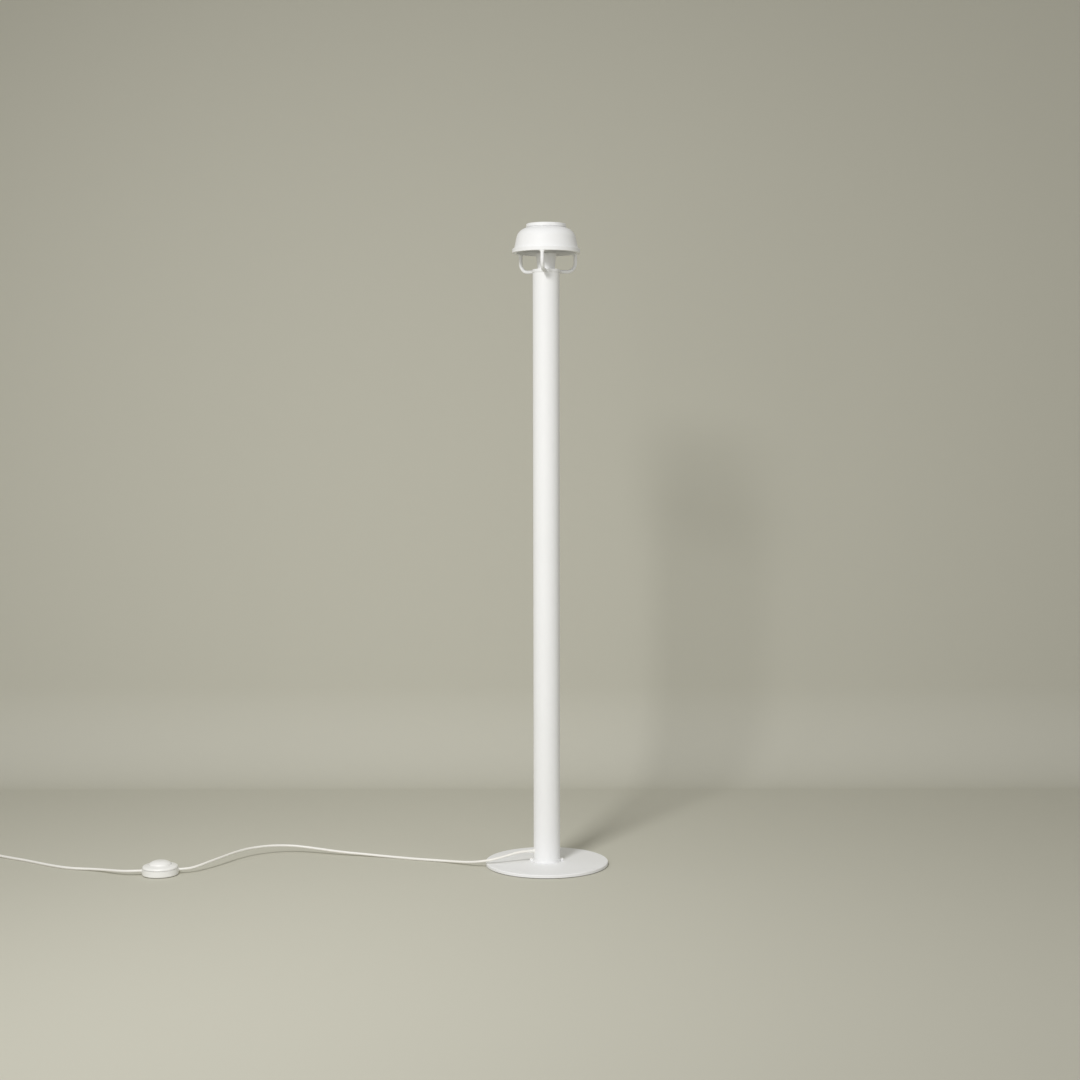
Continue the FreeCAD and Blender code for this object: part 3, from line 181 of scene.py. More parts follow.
def skin(rings: np.ndarray, looped: bool = False) -> Surface:
    """Closed surface over a grid of points.

    Args:
        rings: points (rows, columns, 3). Each row is a ring that closes on itself.
        looped: the last row joins the first. Otherwise the first and last rows have shrunk to a point each.

    Returns:
        Quads between neighbouring rows and columns, and a fan of triangles round each end point.
    """
    rows, columns = rings.shape[:2]
    along = np.linalg.norm(np.diff(rings, axis=0, append=rings[:1]), axis=2).mean(axis=1)
    along = np.concatenate([[0.0], np.cumsum(along)])
    girth = np.linalg.norm(np.diff(rings, axis=1, append=rings[:, :1]), axis=2).sum(axis=1).max()
    index = np.arange(rows * columns).reshape(rows, columns)
    if not looped:
        index[0], index[-1] = index[0, 0], index[-1, 0]
    low, high = (index, np.roll(index, -1, 0)) if looped else (index[:-1], index[1:])
    quads = np.stack([low, np.roll(low, -1, 1), np.roll(high, -1, 1), high], axis=-1)
    row, column = np.meshgrid(np.arange(len(quads)), np.arange(columns), indexing="ij")
    u = np.stack([along[row], along[row], along[row + 1], along[row + 1]], axis=-1)
    v = np.stack([column, column + 1, column + 1, column], axis=-1) * girth / columns
    uv = np.stack([u, v], axis=-1)
    if looped:
        faces, lengths = [quads.reshape(-1, 4)], [uv.reshape(-1, 4, 2)]
    else:
        faces = [quads[1:-1].reshape(-1, 4), quads[0][:, [0, 2, 3]], quads[-1][:, [0, 1, 2]]]
        lengths = [uv[1:-1].reshape(-1, 4, 2), uv[0][:, [0, 2, 3]], uv[-1][:, [0, 1, 2]]]
    used, inverse = np.unique(np.concatenate([face.ravel() for face in faces]), return_inverse=True)
    inverse = inverse.ravel()
    splits = np.cumsum([face.size for face in faces])[:-1]
    faces = [part.reshape(face.shape) for part, face in zip(np.split(inverse, splits), faces)]
    return Surface(rings.reshape(-1, 3)[used], faces, lengths).facing_out()


def rounded(corners: Sequence[Corner], looped: bool = False, steps: int = 6, hold: float = 0.4 * MM) -> np.ndarray:
    """Path through corners, each replaced by the arc that touches both of its runs.

    An arc's centre lies on the bisector, its radius over the cosine of half the turn away from the corner, and its
    points divide the turn evenly. A point is held near each end of a run, so that shading stays flat along it.

    Args:
        corners: (across, up, rounding) in metres.
        looped: the path closes on its first corner.
        steps: spans in each arc.
        hold: distance of the held points from a run's ends.

    Returns:
        Points (n, 2).
    """
    at = np.array([corner[:2] for corner in corners], float)
    pieces: list[np.ndarray] = []
    for i, (point, (_, _, radius)) in enumerate(zip(at, corners)):
        if radius <= 0.0 or (not looped and i in (0, len(at) - 1)):
            pieces.append(point[None])
            continue
        back, ahead = at[i - 1] - point, at[(i + 1) % len(at)] - point
        back, ahead = back / np.linalg.norm(back), ahead / np.linalg.norm(ahead)
        half = (math.pi - math.acos(float(np.clip(back @ ahead, -1, 1)))) / 2
        centre = point + (back + ahead) / np.linalg.norm(back + ahead) * radius / math.cos(half)
        reach = radius * math.tan(half)
        first, last = point + back * reach - centre, point + ahead * reach - centre
        share = np.linspace(0, 1, steps + 1)[:, None]
        turn = 2 * half
        pieces.append(centre + (np.sin((1 - share) * turn) * first + np.sin(share * turn) * last) / math.sin(turn))
    ends = pieces + pieces[:1] if looped else pieces
    held: list[np.ndarray] = []
    for piece, follows in zip(ends, ends[1:]):
        run = follows[0] - piece[-1]
        length = float(np.linalg.norm(run))
        held.append(piece)
        if length > 4 * hold:
            held.append(np.array([piece[-1] + run * hold / length, follows[0] - run * hold / length]))
    if not looped:
        held.append(ends[-1])
    return np.concatenate(held)


def drawn_in(path: np.ndarray, wall: float) -> np.ndarray:
    """The path moved to its left by a wall's thickness, along its normals.

    Args:
        path: points (n, 2).
        wall: the distance, in metres.

    Returns:
        Points (n, 2).
    """
    way = np.gradient(path, axis=0)
    way /= np.linalg.norm(way, axis=1)[:, None]
    return path + np.stack([-way[:, 1], way[:, 0]], axis=1) * wall


def lathe(profile: np.ndarray, sides: int, looped: bool = False) -> Surface:
    """Surface of a profile carried round the Z axis: (r cos a, r sin a, z) for a whole turn of a.

    Args:
        profile: points (n, 2) of radius and height.
        sides: columns in the turn.
        looped: the profile closes on itself, as a ring's does. Otherwise it starts and ends on the axis.

    Returns:
        The surface.
    """
    angle = np.linspace(0, TAU, sides, endpoint=False)
    radius, height = profile[:, :1], np.repeat(profile[:, 1:], sides, axis=1)
    return skin(np.stack([radius * np.cos(angle), radius * np.sin(angle), height], axis=-1), looped)


def ring(corners: Sequence[Corner], sides: int, steps: int = 6) -> Surface:
    """Turned ring, whose profile is a closed path through the corners."""
    return lathe(rounded(corners, looped=True, steps=steps), sides, looped=True)


def solid(corners: Sequence[Corner], sides: int, steps: int = 6) -> Surface:
    """Turned solid, whose profile is an open path through the corners, from the axis back to it."""
    return lathe(rounded(corners, steps=steps), sides)


def bar(path: np.ndarray, inward: np.ndarray, across: np.ndarray, half: np.ndarray, sides: int = 32) -> Surface:
    """Bar whose ring at each point is point + a cos(t) inward + b sin(t) across.

    Args:
        path: points (n, 3) of the middle line.
        inward: unit vectors (n, 3) or (3,), across the path.
        across: unit vectors (n, 3) or (3,), across both.
        half: half axes (n, 2) of the ring.
        sides: columns in the ring.

    Returns:
        The surface, closed by a point at each end.
    """
    angle = np.linspace(0, TAU, sides, endpoint=False)[None, :, None]
    inward, across = np.broadcast_to(inward, path.shape)[:, None], np.broadcast_to(across, path.shape)[:, None]
    rings = path[:, None] + half[:, None, :1] * np.cos(angle) * inward + half[:, None, 1:] * np.sin(angle) * across
    caps = [np.repeat(path[i][None, None], sides, axis=1) for i in (0, -1)]
    return skin(np.concatenate([caps[0], rings, caps[1]]))


def slab(outline: np.ndarray, rows: np.ndarray, near: float = 0.9) -> Surface:
    """Slab whose row is the outline less an inset times its outward normal, at a height.

    Args:
        outline: points (n, 2) of a closed plan, counter-clockwise.
        rows: (inset, height) pairs (m, 2), from the underside's edge to the top's.
        near: size of one more ring on each face, which keeps the shading flat inside it.

    Returns:
        The surface, closed by a fan to the middle of each face.
    """
    way = np.roll(outline, -1, 0) - np.roll(outline, 1, 0)
    way /= np.linalg.norm(way, axis=1)[:, None]
    normal = np.stack([way[:, 1], -way[:, 0]], axis=1)
    plan = outline[None] - rows[:, 0, None, None] * normal[None]
    rings = np.concatenate([plan, np.broadcast_to(rows[:, 1, None, None], plan.shape[:2] + (1,))], axis=2)
    middle = np.array([*outline.mean(axis=0), 0.0])
    ends = []
    for edge in (rings[0], rings[-1]):
        centre = middle + [0, 0, edge[0, 2]]
        ends.append([np.repeat(centre[None], len(edge), axis=0), centre + (edge - centre) * near])
    return skin(np.stack([*ends[0], *rings, ends[1][1], ends[1][0]]))


def edge_rows(thickness: float, edge: float, low: float, steps: int = 5) -> np.ndarray:
    """Rows of a slab with rounded rims: a quarter circle of insets and heights, the side and another quarter."""
    turn = np.linspace(0, math.pi / 2, steps + 1)
    foot = np.stack([edge * (1 - np.sin(turn)), low + edge * (1 - np.cos(turn))], axis=1)
    head = np.stack([foot[::-1, 0], 2 * low + thickness - foot[::-1, 1]], axis=1)
    return np.concatenate([foot, head])


# ---------------------------------------------------------------- finishes
def linear(red: int, green: int, blue: int) -> Colour:
    """Linear colour of display values from 0 to 255, by the display curve's formula."""
    shares = [value / 255 for value in (red, green, blue)]
    return tuple(s / 12.92 if s <= 0.04045 else ((s + 0.055) / 1.055) ** 2.4 for s in shares)


class Value:
    """Number on a node's socket. Arithmetic on it adds Math nodes."""

    def __init__(self, shader: Shader, socket: bpy.types.NodeSocket) -> None:
        """Wraps a socket of the shader's tree."""
        self.shader = shader
        self.socket = socket

    def _math(self, operation: str, first: Value | float, second: Value | float) -> Value:
        """A Math node on two values."""
        made = self.shader.node("ShaderNodeMath", {"operation": operation}, {0: first, 1: second})
        return Value(self.shader, made.outputs[0])

    def __add__(self, other: Value | float) -> Value:
        """Sum."""
        return self._math("ADD", self, other)

    def __sub__(self, other: Value | float) -> Value:
        """Difference."""
        return self._math("SUBTRACT", self, other)

    def __rsub__(self, other: float) -> Value:
        """Difference from a number."""
        return self._math("SUBTRACT", other, self)

    def __mul__(self, other: Value | float) -> Value:
        """Product."""
        return self._math("MULTIPLY", self, other)

    def __pow__(self, other: float) -> Value:
        """Power."""
        return self._math("POWER", self, other)

    __radd__ = __add__
    __rmul__ = __mul__

    def wave(self, per_metre: float) -> Value:
        """Sine of the value, taken as a length, with that many waves in a metre, moved to run from 0 to 1."""
        return self._math("SINE", self * (TAU * per_metre), 0.0) * 0.5 + 0.5


class Shader:
    """Material with one Principled surface, whose constants sit on the surface's own sockets."""

    def __init__(self, name: str, constants: dict[str, Any]) -> None:
        """Makes the material.

        Args:
            name: its name.
            constants: socket names and values of the surface.
        """
        self.material = bpy.data.materials.new(name)
        self.material.use_nodes = True
        self.tree = self.material.node_tree
        self.surface = self.tree.nodes["Principled BSDF"]
        for socket, value in constants.items():
            self.surface.inputs[socket].default_value = value

    def node(self, kind: str, settings: dict[str, Any], inputs: dict[Any, Any]) -> bpy.types.Node:
        """Adds a node.

        Args:
            kind: the node's type.
            settings: properties, set first; "stops" are a ramp's (position, colour) pairs.
            inputs: socket names or numbers, with a number, colour, Value or socket for each.

        Returns:
            The node.
        """
        made = self.tree.nodes.new(kind)
        for setting, value in settings.items():
            if setting == "stops":
                for element, (position, colour) in zip(made.color_ramp.elements, value):
                    element.position = position
                    element.color = colour
            else:
                setattr(made, setting, value)
        for key, value in inputs.items():
            source = value.socket if isinstance(value, Value) else value
            if isinstance(source, bpy.types.NodeSocket):
                self.tree.links.new(source, made.inputs[key])
            else:
                made.inputs[key].default_value = source
        return made

    def place(self, stretch: Sequence[float] = (1, 1, 1), turn: Sequence[float] = (0, 0, 0)) -> bpy.types.NodeSocket:
        """Position on the object, turned and stretched."""
        where = self.node("ShaderNodeTexCoord", {}, {}).outputs["Object"]
        return self.node("ShaderNodeMapping", {}, {"Vector": where, "Scale": stretch, "Rotation": turn}).outputs[0]

    def noise(self, scale: float, detail: float = 2.0, where: bpy.types.NodeSocket | None = None) -> Value:
        """Smooth noise from 0 to 1 with that many cells in a metre."""
        inputs = {"Vector": where or self.place(), "Scale": scale, "Detail": detail}
        return Value(self, self.node("ShaderNodeTexNoise", {}, inputs).outputs[0])

    def lengths(self) -> tuple[Value, Value]:
        """Lengths along and round the surface, from the piece's own map."""
        where = self.node("ShaderNodeTexCoord", {}, {}).outputs["UV"]
        parts = self.node("ShaderNodeSeparateXYZ", {}, {0: where})
        return Value(self, parts.outputs[0]), Value(self, parts.outputs[1])

    def blend(self, first: Colour, second: Colour, share: Value) -> bpy.types.NodeSocket:
        """Colour between two, by a share from 0 to 1."""
        made = self.node("ShaderNodeMix", {"data_type": "RGBA"}, {0: share, 6: (*first, 1), 7: (*second, 1)})
        return made.outputs[2]

    def lay(self, colour: bpy.types.NodeSocket, roughness: Value, height: Value, depth: float) -> bpy.types.Material:
        """Joins the varying values to the surface.

        Args:
            colour: base colour.
            roughness: from 0 to 1.
            height: relief from 0 to 1.
            depth: the relief's depth in metres.

        Returns:
            The material.
        """
        bump = self.node("ShaderNodeBump", {}, {"Height": height, "Distance": depth, "Strength": 1.0})
        for socket, source in (("Base Color", colour), ("Roughness", roughness.socket), ("Normal", bump.outputs[0])):
            self.tree.links.new(source, self.surface.inputs[socket])
        return self.material


@dataclass(frozen=True)
class Finish:
    """A finish: its colour, how that drifts, its sheen and its fine relief."""

    name: str
    colour: Colour
    roughness: float
    grain: Grain
    metallic: float = 0.0
    drift: float = 0.03
    depth: float = 0.02 * MM
    constants: tuple[tuple[str, Any], ...] = ()

    def made(self) -> bpy.types.Material:
        """The material, whose relief follows the grain.

        Returns:
            Peel is soft dimples over a fine tooth, satin a fine tooth, brushed a tooth drawn out along Z, fibre
            tangled hairs and woven a chequer of two crossed waves. Fibre and woven also get painted shade: their colour
            is darker where their relief is low, in the hollows between hairs and threads.
        """
        shader = Shader(self.name, {"Metallic": self.metallic, **dict(self.constants)})
        cloud = shader.noise(9.0, 3.0)
        if self.grain is Grain.PEEL:
            height = shader.noise(520.0, 1.0) * 0.75 + shader.noise(2600.0, 1.0) * 0.25
        elif self.grain is Grain.SATIN:
            height = shader.noise(1700.0, 2.0) * 0.6 + shader.noise(5200.0, 1.0) * 0.4
        elif self.grain is Grain.SMOOTH:
            height = shader.noise(160.0, 2.0)
        elif self.grain is Grain.BRUSHED:
            height = shader.noise(900.0, 3.0, shader.place((1, 1, 0.03)))
        elif self.grain is Grain.FIBRE:
            height = shader.noise(1400.0, 6.0) ** 2.0
        else:
            warp, weft = (length.wave(900.0) for length in shader.lengths())
            height = warp * weft + (1.0 - warp) * (1.0 - weft)
        shade = tuple(channel * (1.0 - self.drift) for channel in self.colour)
        # Painted shade: fibre and woven darken down to 0.72 of their colour where the relief is low, in the hollows,
        # with a little random tone from the cloud.
        if self.grain in (Grain.FIBRE, Grain.WOVEN):
            share = height * 0.7 + cloud * 0.3
            colour = shader.blend(tuple(channel * 0.72 for channel in self.colour), self.colour, share)
        else:
            colour = shader.blend(shade, self.colour, cloud)
        roughness = (cloud - 0.5) * 0.08 + (height - 0.5) * 0.05 + self.roughness
        return shader.lay(colour, roughness, height, self.depth)


FINISHES: dict[Slot, Finish] = {
    Slot.COAT: Finish("satin powder coat", linear(240, 240, 240), 0.55, Grain.PEEL,
                      constants=(("Specular IOR Level", 0.3),)),
    Slot.FELT: Finish("short felt", linear(92, 91, 88), 0.95, Grain.FIBRE, depth=0.3 * MM),
    Slot.ZINC: Finish("zinc plate", linear(196, 198, 200), 0.34, Grain.BRUSHED, metallic=1.0),
    Slot.WHITE_SCREW: Finish("painted screw", linear(236, 235, 231), 0.38, Grain.SATIN),
    Slot.FIN: Finish("turned aluminium", linear(214, 215, 217), 0.32, Grain.BRUSHED, metallic=1.0),
    Slot.BOARD: Finish("white solder mask", linear(236, 237, 234), 0.4, Grain.SMOOTH),
    Slot.PHOSPHOR: Finish("yellow silicone", linear(232, 202, 92), 0.45, Grain.SATIN),
    Slot.OPAL: Finish("opal diffuser", linear(240, 239, 233), 0.5, Grain.SATIN,
                      constants=(("Subsurface Weight", 0.35), ("Subsurface Scale", 0.004))),
    Slot.MOULDING: Finish("satin moulding", linear(236, 235, 230), 0.46, Grain.SATIN),
    Slot.SWITCH: Finish("switch moulding", linear(242, 241, 238), 0.33, Grain.SMOOTH, depth=0.03 * MM),
    Slot.CORD: Finish("soft sheath", linear(240, 238, 232), 0.48, Grain.SATIN, drift=0.05),
    Slot.FOOT: Finish("grey rubber", linear(170, 170, 166), 0.8, Grain.SATIN),
    Slot.LATCH: Finish("black moulding", linear(44, 44, 46), 0.45, Grain.SATIN),
    Slot.BRASS: Finish("brass", linear(214, 182, 118), 0.3, Grain.BRUSHED, metallic=1.0),
    Slot.NICKEL: Finish("nickel plate", linear(214, 211, 205), 0.2, Grain.BRUSHED, metallic=1.0),
    Slot.CORE: Finish("core insulation", linear(128, 86, 54), 0.5, Grain.SMOOTH),
    Slot.TIE: Finish("woven strap", linear(238, 237, 233), 0.85, Grain.WOVEN, depth=0.12 * MM),
}


# ---------------------------------------------------------------- workshop
@dataclass
class Box:
    """Box of a CAD node at rest."""

    low: Vector
    high: Vector

    @classmethod
    def of(cls, node: str) -> Box:
        """The box of a node."""
        return cls(*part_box(node))

    @property
    def middle(self) -> Vector:
        """Its centre."""
        return (self.low + self.high) / 2

    @property
    def radius(self) -> float:
        """Half its width."""
        return (self.high.x - self.low.x) / 2


class Workshop:
    """Turns surfaces into dressed pieces that ride on the frame."""

    def __init__(self, frame: dict[str, Any]) -> None:
        """Makes every finish and dresses the frame's own nodes.
        """
        self.materials = {slot: finish.made() for slot, finish in FINISHES.items()}
        self.slots = {row["node"]: Slot(row["material_slot"]) for row in frame["record"]["subparts"]}
        for node, piece in frame["nodes"].items():
            piece.data.materials.clear()
            piece.data.materials.append(self.materials[self.slots[node]])

    def dress(self, piece: bpy.types.Object, nodes: Sequence[str], body: Body = Body.LAMP,
              slot: Slot | None = None) -> bpy.types.Object:
        """Gives a piece its finish, its body and the nodes that it stands for.

        Args:
            piece: the object.
            nodes: CAD nodes that it replaces.
            body: what it rides on.
            slot: its finish, or that of the first node.

        Returns:
            The same object.
        """
        slot = slot or self.slots[nodes[0]]
        piece.data.materials.append(self.materials[slot])
        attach(piece, body.value)
        if nodes:
            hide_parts(*nodes)
        log.info("%s stands for %s", piece.name, ", ".join(nodes) or "nothing")
        return piece

    def piece(self, name: str, surfaces: Sequence[Surface], nodes: Sequence[str], body: Body = Body.LAMP,
              slot: Slot | None = None) -> bpy.types.Object:
        """Makes a mesh piece from closed surfaces.

        Args:
            name: the object's name.
            surfaces: its shells.
            nodes: CAD nodes that it replaces.
            body: what it rides on.
            slot: its finish, or that of the first node.

        Returns:
            The object.
        """
        whole = joined(surfaces)
        mesh = bpy.data.meshes.new(name)
        mesh.from_pydata(whole.points.tolist(), [], [f for face in whole.faces for f in face.tolist()])
        mesh.uv_layers.new(name="lengths")
        pairs = np.concatenate([pair.reshape(-1, 2) for pair in whole.lengths])
        mesh.uv_layers[0].data.foreach_set("uv", pairs.astype(np.float32).ravel())
        mesh.shade_smooth()
        made = bpy.data.objects.new(name, mesh)
        bpy.context.scene.collection.objects.link(made)
        return self.dress(made, nodes, body, slot)


def bearing(radius: float, degrees: float, height: float = 0.0) -> np.ndarray:
    """Point at that distance and bearing from the Z axis."""
    angle = math.radians(degrees)
    return np.array([radius * math.cos(angle), radius * math.sin(angle), height])


def turned(degrees: float, at: Sequence[float] = (0, 0, 0)) -> Matrix:
    """Placement that turns about Z and then moves."""
    return Matrix.Translation(Vector(at)) @ Matrix.Rotation(math.radians(degrees), 4, "Z")


def screw_head(radius: float, height: float, key: float, depth: float, sides: int = 36) -> Surface:
    """Button head on z 0 with a hexagonal socket.

    A ring's radius is its profile radius times 1 outside the socket, and inside it times the hexagon's polar
    radius cos(30) / cos(angle from the middle of the nearest flat).

    Args:
        radius: the head's.
        height: the head's.
        key: half the socket's width over flats.
        depth: the socket's.
        sides: columns in the ring, a multiple of six.

    Returns:
        The surface.
    """
    dome = rounded([(0, 0, 0), (radius, 0, 0.1 * MM), (radius, height, height * 0.7), (key * 1.3, height, 0)],
                   steps=7)
    socket = np.array([[1.12, height], [1.0, height - 0.12 * MM], [1.0, height - depth + 0.08 * MM],
                       [0.94, height - depth], [0.0, height - depth]]) * [key / math.cos(math.pi / 6), 1]
    profile = np.concatenate([dome, socket])
    share = np.concatenate([np.zeros(len(dome)), np.ones(len(socket))])[:, None]
    angle = np.linspace(0, TAU, sides, endpoint=False)[None]
    hexagon = math.cos(math.pi / 6) / np.cos((angle + math.pi / 6) % (math.pi / 3) - math.pi / 6)
    reach = profile[:, :1] * (1 - share + share * hexagon)
    level = np.repeat(profile[:, 1:], sides, axis=1)
    return skin(np.stack([reach * np.cos(angle), reach * np.sin(angle), level], axis=-1))


ARM_BEARINGS = (-90.0, 30.0, 150.0)


# ---------------------------------------------------------------- stand
@dataclass
class Stand:
    """Weighted base, foot collar with its screws, and tube."""

    shop: Workshop
    edge: float = 1.7 * MM
    foot_edge: float = 0.5 * MM
    recess: float = 16.0 * MM
    recess_depth: float = 4.5 * MM
    collar_edge: float = 0.7 * MM
    collar_radius: float = 31.2 * MM
    ear_root: float = 25.0 * MM
    ear_reach: float = 34.8 * MM
    ear_radius: float = 4.2 * MM
    ear_height: float = 4.0 * MM
    screw_radius: float = 2.9 * MM
    screw_height: float = 2.1 * MM
    key: float = 1.1 * MM
    key_depth: float = 1.2 * MM
    wall: float = 1.5 * MM
    burr: float = 0.35 * MM
    ear_bearings: tuple[float, ...] = (7.0, 187.0)

    def base(self) -> None:
        """Plate with a rounded rim and, below it, the recess for the nut."""
        plate = Box.of("base_plate")
        low, high, roof = plate.low.z, plate.high.z, plate.low.z + self.recess_depth
        corners = [(0, roof, 0), (self.recess, roof, 0.2 * MM), (self.recess, low, 0.3 * MM),
                   (plate.radius, low, self.foot_edge), (plate.radius, high, self.edge), (0, high, 0)]
        self.shop.piece("base", [solid(corners, 256, steps=8)], ["base_plate"])

    def collar(self) -> None:
        """Collar round the foot of the tube, with a screwed ear on either side."""
        tube = Box.of("column_tube")
        low, high = Box.of("base_plate").high.z, tube.low.z
        outer, spigot, top = self.collar_radius, tube.radius - self.wall - SLIP, high + SPIGOT
        shells = [ring([(ROD_BORE, low, 0), (outer, low, 0.2 * MM), (outer, high, self.collar_edge),
                        (spigot, high, 0), (spigot, top, 0.2 * MM), (ROD_BORE, top, 0)], 160)]
        screws = []
        half, reach = self.ear_radius, self.ear_reach + self.ear_radius
        plan = rounded([(self.ear_root, -half, 0), (reach, -half, half * 0.98), (reach, half, half * 0.98),
                        (self.ear_root, half, 0)], looped=True, steps=14)
        ear = slab(plan, edge_rows(self.ear_height, 0.5 * MM, low))
        head = screw_head(self.screw_radius, self.screw_height, self.key, self.key_depth)
        for degrees in self.ear_bearings:
            shells.append(ear.placed(turned(degrees)))
            screws.append(head.placed(turned(degrees, bearing(self.ear_reach, degrees, low + self.ear_height))))
        self.shop.piece("collar", shells, ["foot_collar"])
        self.shop.piece("foot_screws", screws, ["collar_screws"])

    def tube(self) -> None:
        """Tube, open inside, with deburred ends."""
        box = Box.of("column_tube")
        outer, inner = box.radius, box.radius - self.wall
        corners = [(radius, height, self.burr) for radius, height in (
            (inner, box.low.z), (outer, box.low.z), (outer, box.high.z), (inner, box.high.z))]
        self.shop.piece("tube", [ring(corners, 160, steps=4)], ["column_tube"])

    def build(self) -> None:
        """Makes the stand's pieces."""
        self.base()
        self.collar()
        self.tube()


# ---------------------------------------------------------------- head
@dataclass
class Head:
    """Cage, dome, cap and the light source in its cup."""

    shop: Workshop
    tube_wall: float = 1.5 * MM
    rim_lip: float = 2.4 * MM
    rim_height: float = 9.3 * MM
    rim_edge: float = 0.9 * MM
    groove_depth: float = 6.0 * MM
    soft: float = 0.3 * MM
    hub_radius: float = 31.0 * MM
    hub_height: float = 7.0 * MM
    hub_flare: float = 3.4 * MM
    hub_swell: float = 0.8
    hub_squat: float = 0.2
    arm_radius: float = 4.0 * MM
    arm_root: float = 20.0 * MM
    arm_inset: float = 0.3 * MM
    arm_sink: float = 3.0 * MM
    hub_zone: float = 40.0 * MM
    arm_rings: int = 120
    bend: float = 21.0 * MM
    flare: float = 6.0 * MM
    dome_wall: float = 1.5 * MM
    dome_skirt: float = 7.6 * MM
    dome_taper: float = 12.0
    skirt_blend: float = 12.0 * MM
    shoulder: float = 27.6 * MM
    crown_slope: float = 16.0
    crown_radius: float = 44.4 * MM
    crown_edge: float = 2.5 * MM
    cap_hole: float = 8.2 * MM
    cap_boss: float = 8.0 * MM
    cap_neck: float = 42.4 * MM
    cap_gap: float = 1.6 * MM
    cap_edge: float = 1.3 * MM
    cup_foot: float = 18.8 * MM
    cup_bore: float = 16.7 * MM
    cup_floor: float = 2.0 * MM
    bezel_width: float = 2.9 * MM
    lens_wall: float = 1.6 * MM
    lens_hollow: float = 2.6 * MM
    lens_edge: float = 2.4 * MM

    def rim_and_hub(self) -> list[Surface]:
        """Grooved rim and hub, both turned.

        Returns:
            Two shells.
        """
        cage, tube, dome = Box.of("cage"), Box.of("column_tube"), Box.of("dome_shell")
        outer, top = cage.radius, cage.high.z
        groove_out, groove_in = dome.radius + SLIP, dome.radius - self.dome_wall - SLIP
        inner, low, floor = groove_in - self.rim_lip, top - self.rim_height, top - self.groove_depth
        rim = [(inner, low, 1.3 * MM), (outer, low, self.rim_edge), (outer, top, self.rim_edge),
               (groove_out, top, self.soft), (groove_out, floor, 0.1 * MM), (groove_in, floor, 0.1 * MM),
               (groove_in, top, self.soft), (inner, top, self.rim_edge)]
        spigot = tube.radius - self.tube_wall - SLIP
        foot, crown = tube.high.z, tube.high.z + self.hub_height
        hub = [(ROD_BORE, foot - SPIGOT, 0), (spigot, foot - SPIGOT, self.soft), (spigot, foot, 0),
               (self.hub_radius, foot, 0.5 * MM), (self.hub_radius, crown, 0.9 * MM), (ROD_BORE, crown, 0)]
        return [ring(rim, 256), ring(hub, 160)]

    def arm(self) -> Surface:
        """One arm along +X, from inside the hub out and up into the rim.

        The middle line is a run, a quarter circle and a run. The ring is round, and widens sideways by
        f (1 - sqrt(1 - s^2)) over the last length f below the rim and outside the hub, s rising from 0 to 1.

        Returns:
            The surface.
        """
        tube, cage = Box.of("column_tube"), Box.of("cage")
        reach = cage.radius - self.arm_radius - self.arm_inset
        level = tube.high.z + self.hub_height / 2
        under = cage.high.z - self.rim_height
        path = rounded([(self.arm_root, level, 0), (reach, level, self.bend), (reach, under + self.arm_sink, 0)],
                       steps=28, hold=1 * MM)
        lengths = np.concatenate([[0], np.cumsum(np.linalg.norm(np.diff(path, axis=0), axis=1))])
        even = np.linspace(0, lengths[-1], self.arm_rings)
        path = np.stack([np.interp(even, lengths, path[:, k]) for k in (0, 1)], axis=1)
        way = np.gradient(path, axis=0)
        way /= np.linalg.norm(way, axis=1)[:, None]
        near_rim = np.clip((path[:, 1] - under + self.flare) / self.flare, 0, 1)
        near_hub = np.clip((self.hub_radius + self.hub_flare - path[:, 0]) / self.hub_flare, 0, 1)
        near_hub *= path[:, 0] < self.hub_zone
        wider = self.flare * (1 - np.sqrt(1 - near_rim ** 2))
        wider += self.hub_flare * (1 - np.sqrt(1 - near_hub ** 2)) * self.hub_swell
        squat = 1 - self.hub_squat * near_hub
        half = np.stack([self.arm_radius * squat, self.arm_radius + wider], axis=1)
        line = np.stack([path[:, 0], np.zeros(len(path)), path[:, 1]], axis=1)
        inward = np.stack([-way[:, 1], np.zeros(len(path)), way[:, 0]], axis=1)
        return bar(line, inward, np.array([0.0, 1.0, 0.0]), half, 40)

    def cage(self) -> None:
        """The whole casting."""
        arm = self.arm()
        arms = [arm.placed(turned(degrees)) for degrees in ARM_BEARINGS]
        self.shop.piece("cage_casting", [*self.rim_and_hub(), *arms], ["cage"])

    def dome(self) -> None:
        """Pressed dome: skirt, taper, shoulder and crown, as a wall with a rolled lower edge."""
        box = Box.of("dome_shell")
        low, crown, radius = box.low.z, box.high.z, box.radius
        taper, slope = math.tan(math.radians(self.dome_taper)), math.tan(math.radians(self.crown_slope))
        skirt = low + self.dome_skirt
        rise = (crown - skirt - (radius - self.crown_radius) * slope) / (1 - taper * slope)
        outer = rounded([(radius, low, 0), (radius, skirt, self.skirt_blend),
                         (radius - rise * taper, skirt + rise, self.shoulder),
                         (self.crown_radius, crown, self.crown_edge), (self.cap_hole, crown, 0)], steps=20)
        inner = drawn_in(outer, self.dome_wall)
        profile = np.concatenate([outer, inner[::-1]])
        self.shop.piece("dome", [lathe(profile, 256, looped=True)], ["dome_shell"])

    def cap(self) -> None:
        """Turned disc cap on a narrower neck, with the boss that its screw holds."""
        box, crown = Box.of("dome_cap"), Box.of("dome_shell").high.z
        under = crown + self.cap_gap
        corners = [(0, box.low.z, 0), (self.cap_boss, box.low.z, 0.2 * MM), (self.cap_boss, crown, 0.05 * MM),
                   (self.cap_neck, crown, 0.2 * MM), (self.cap_neck, under, 0.5 * MM),
                   (box.radius, under, 0.5 * MM), (box.radius, box.high.z, self.cap_edge), (0, box.high.z, 0)]
        self.shop.piece("cap", [solid(corners, 200, steps=8)], ["dome_cap"])

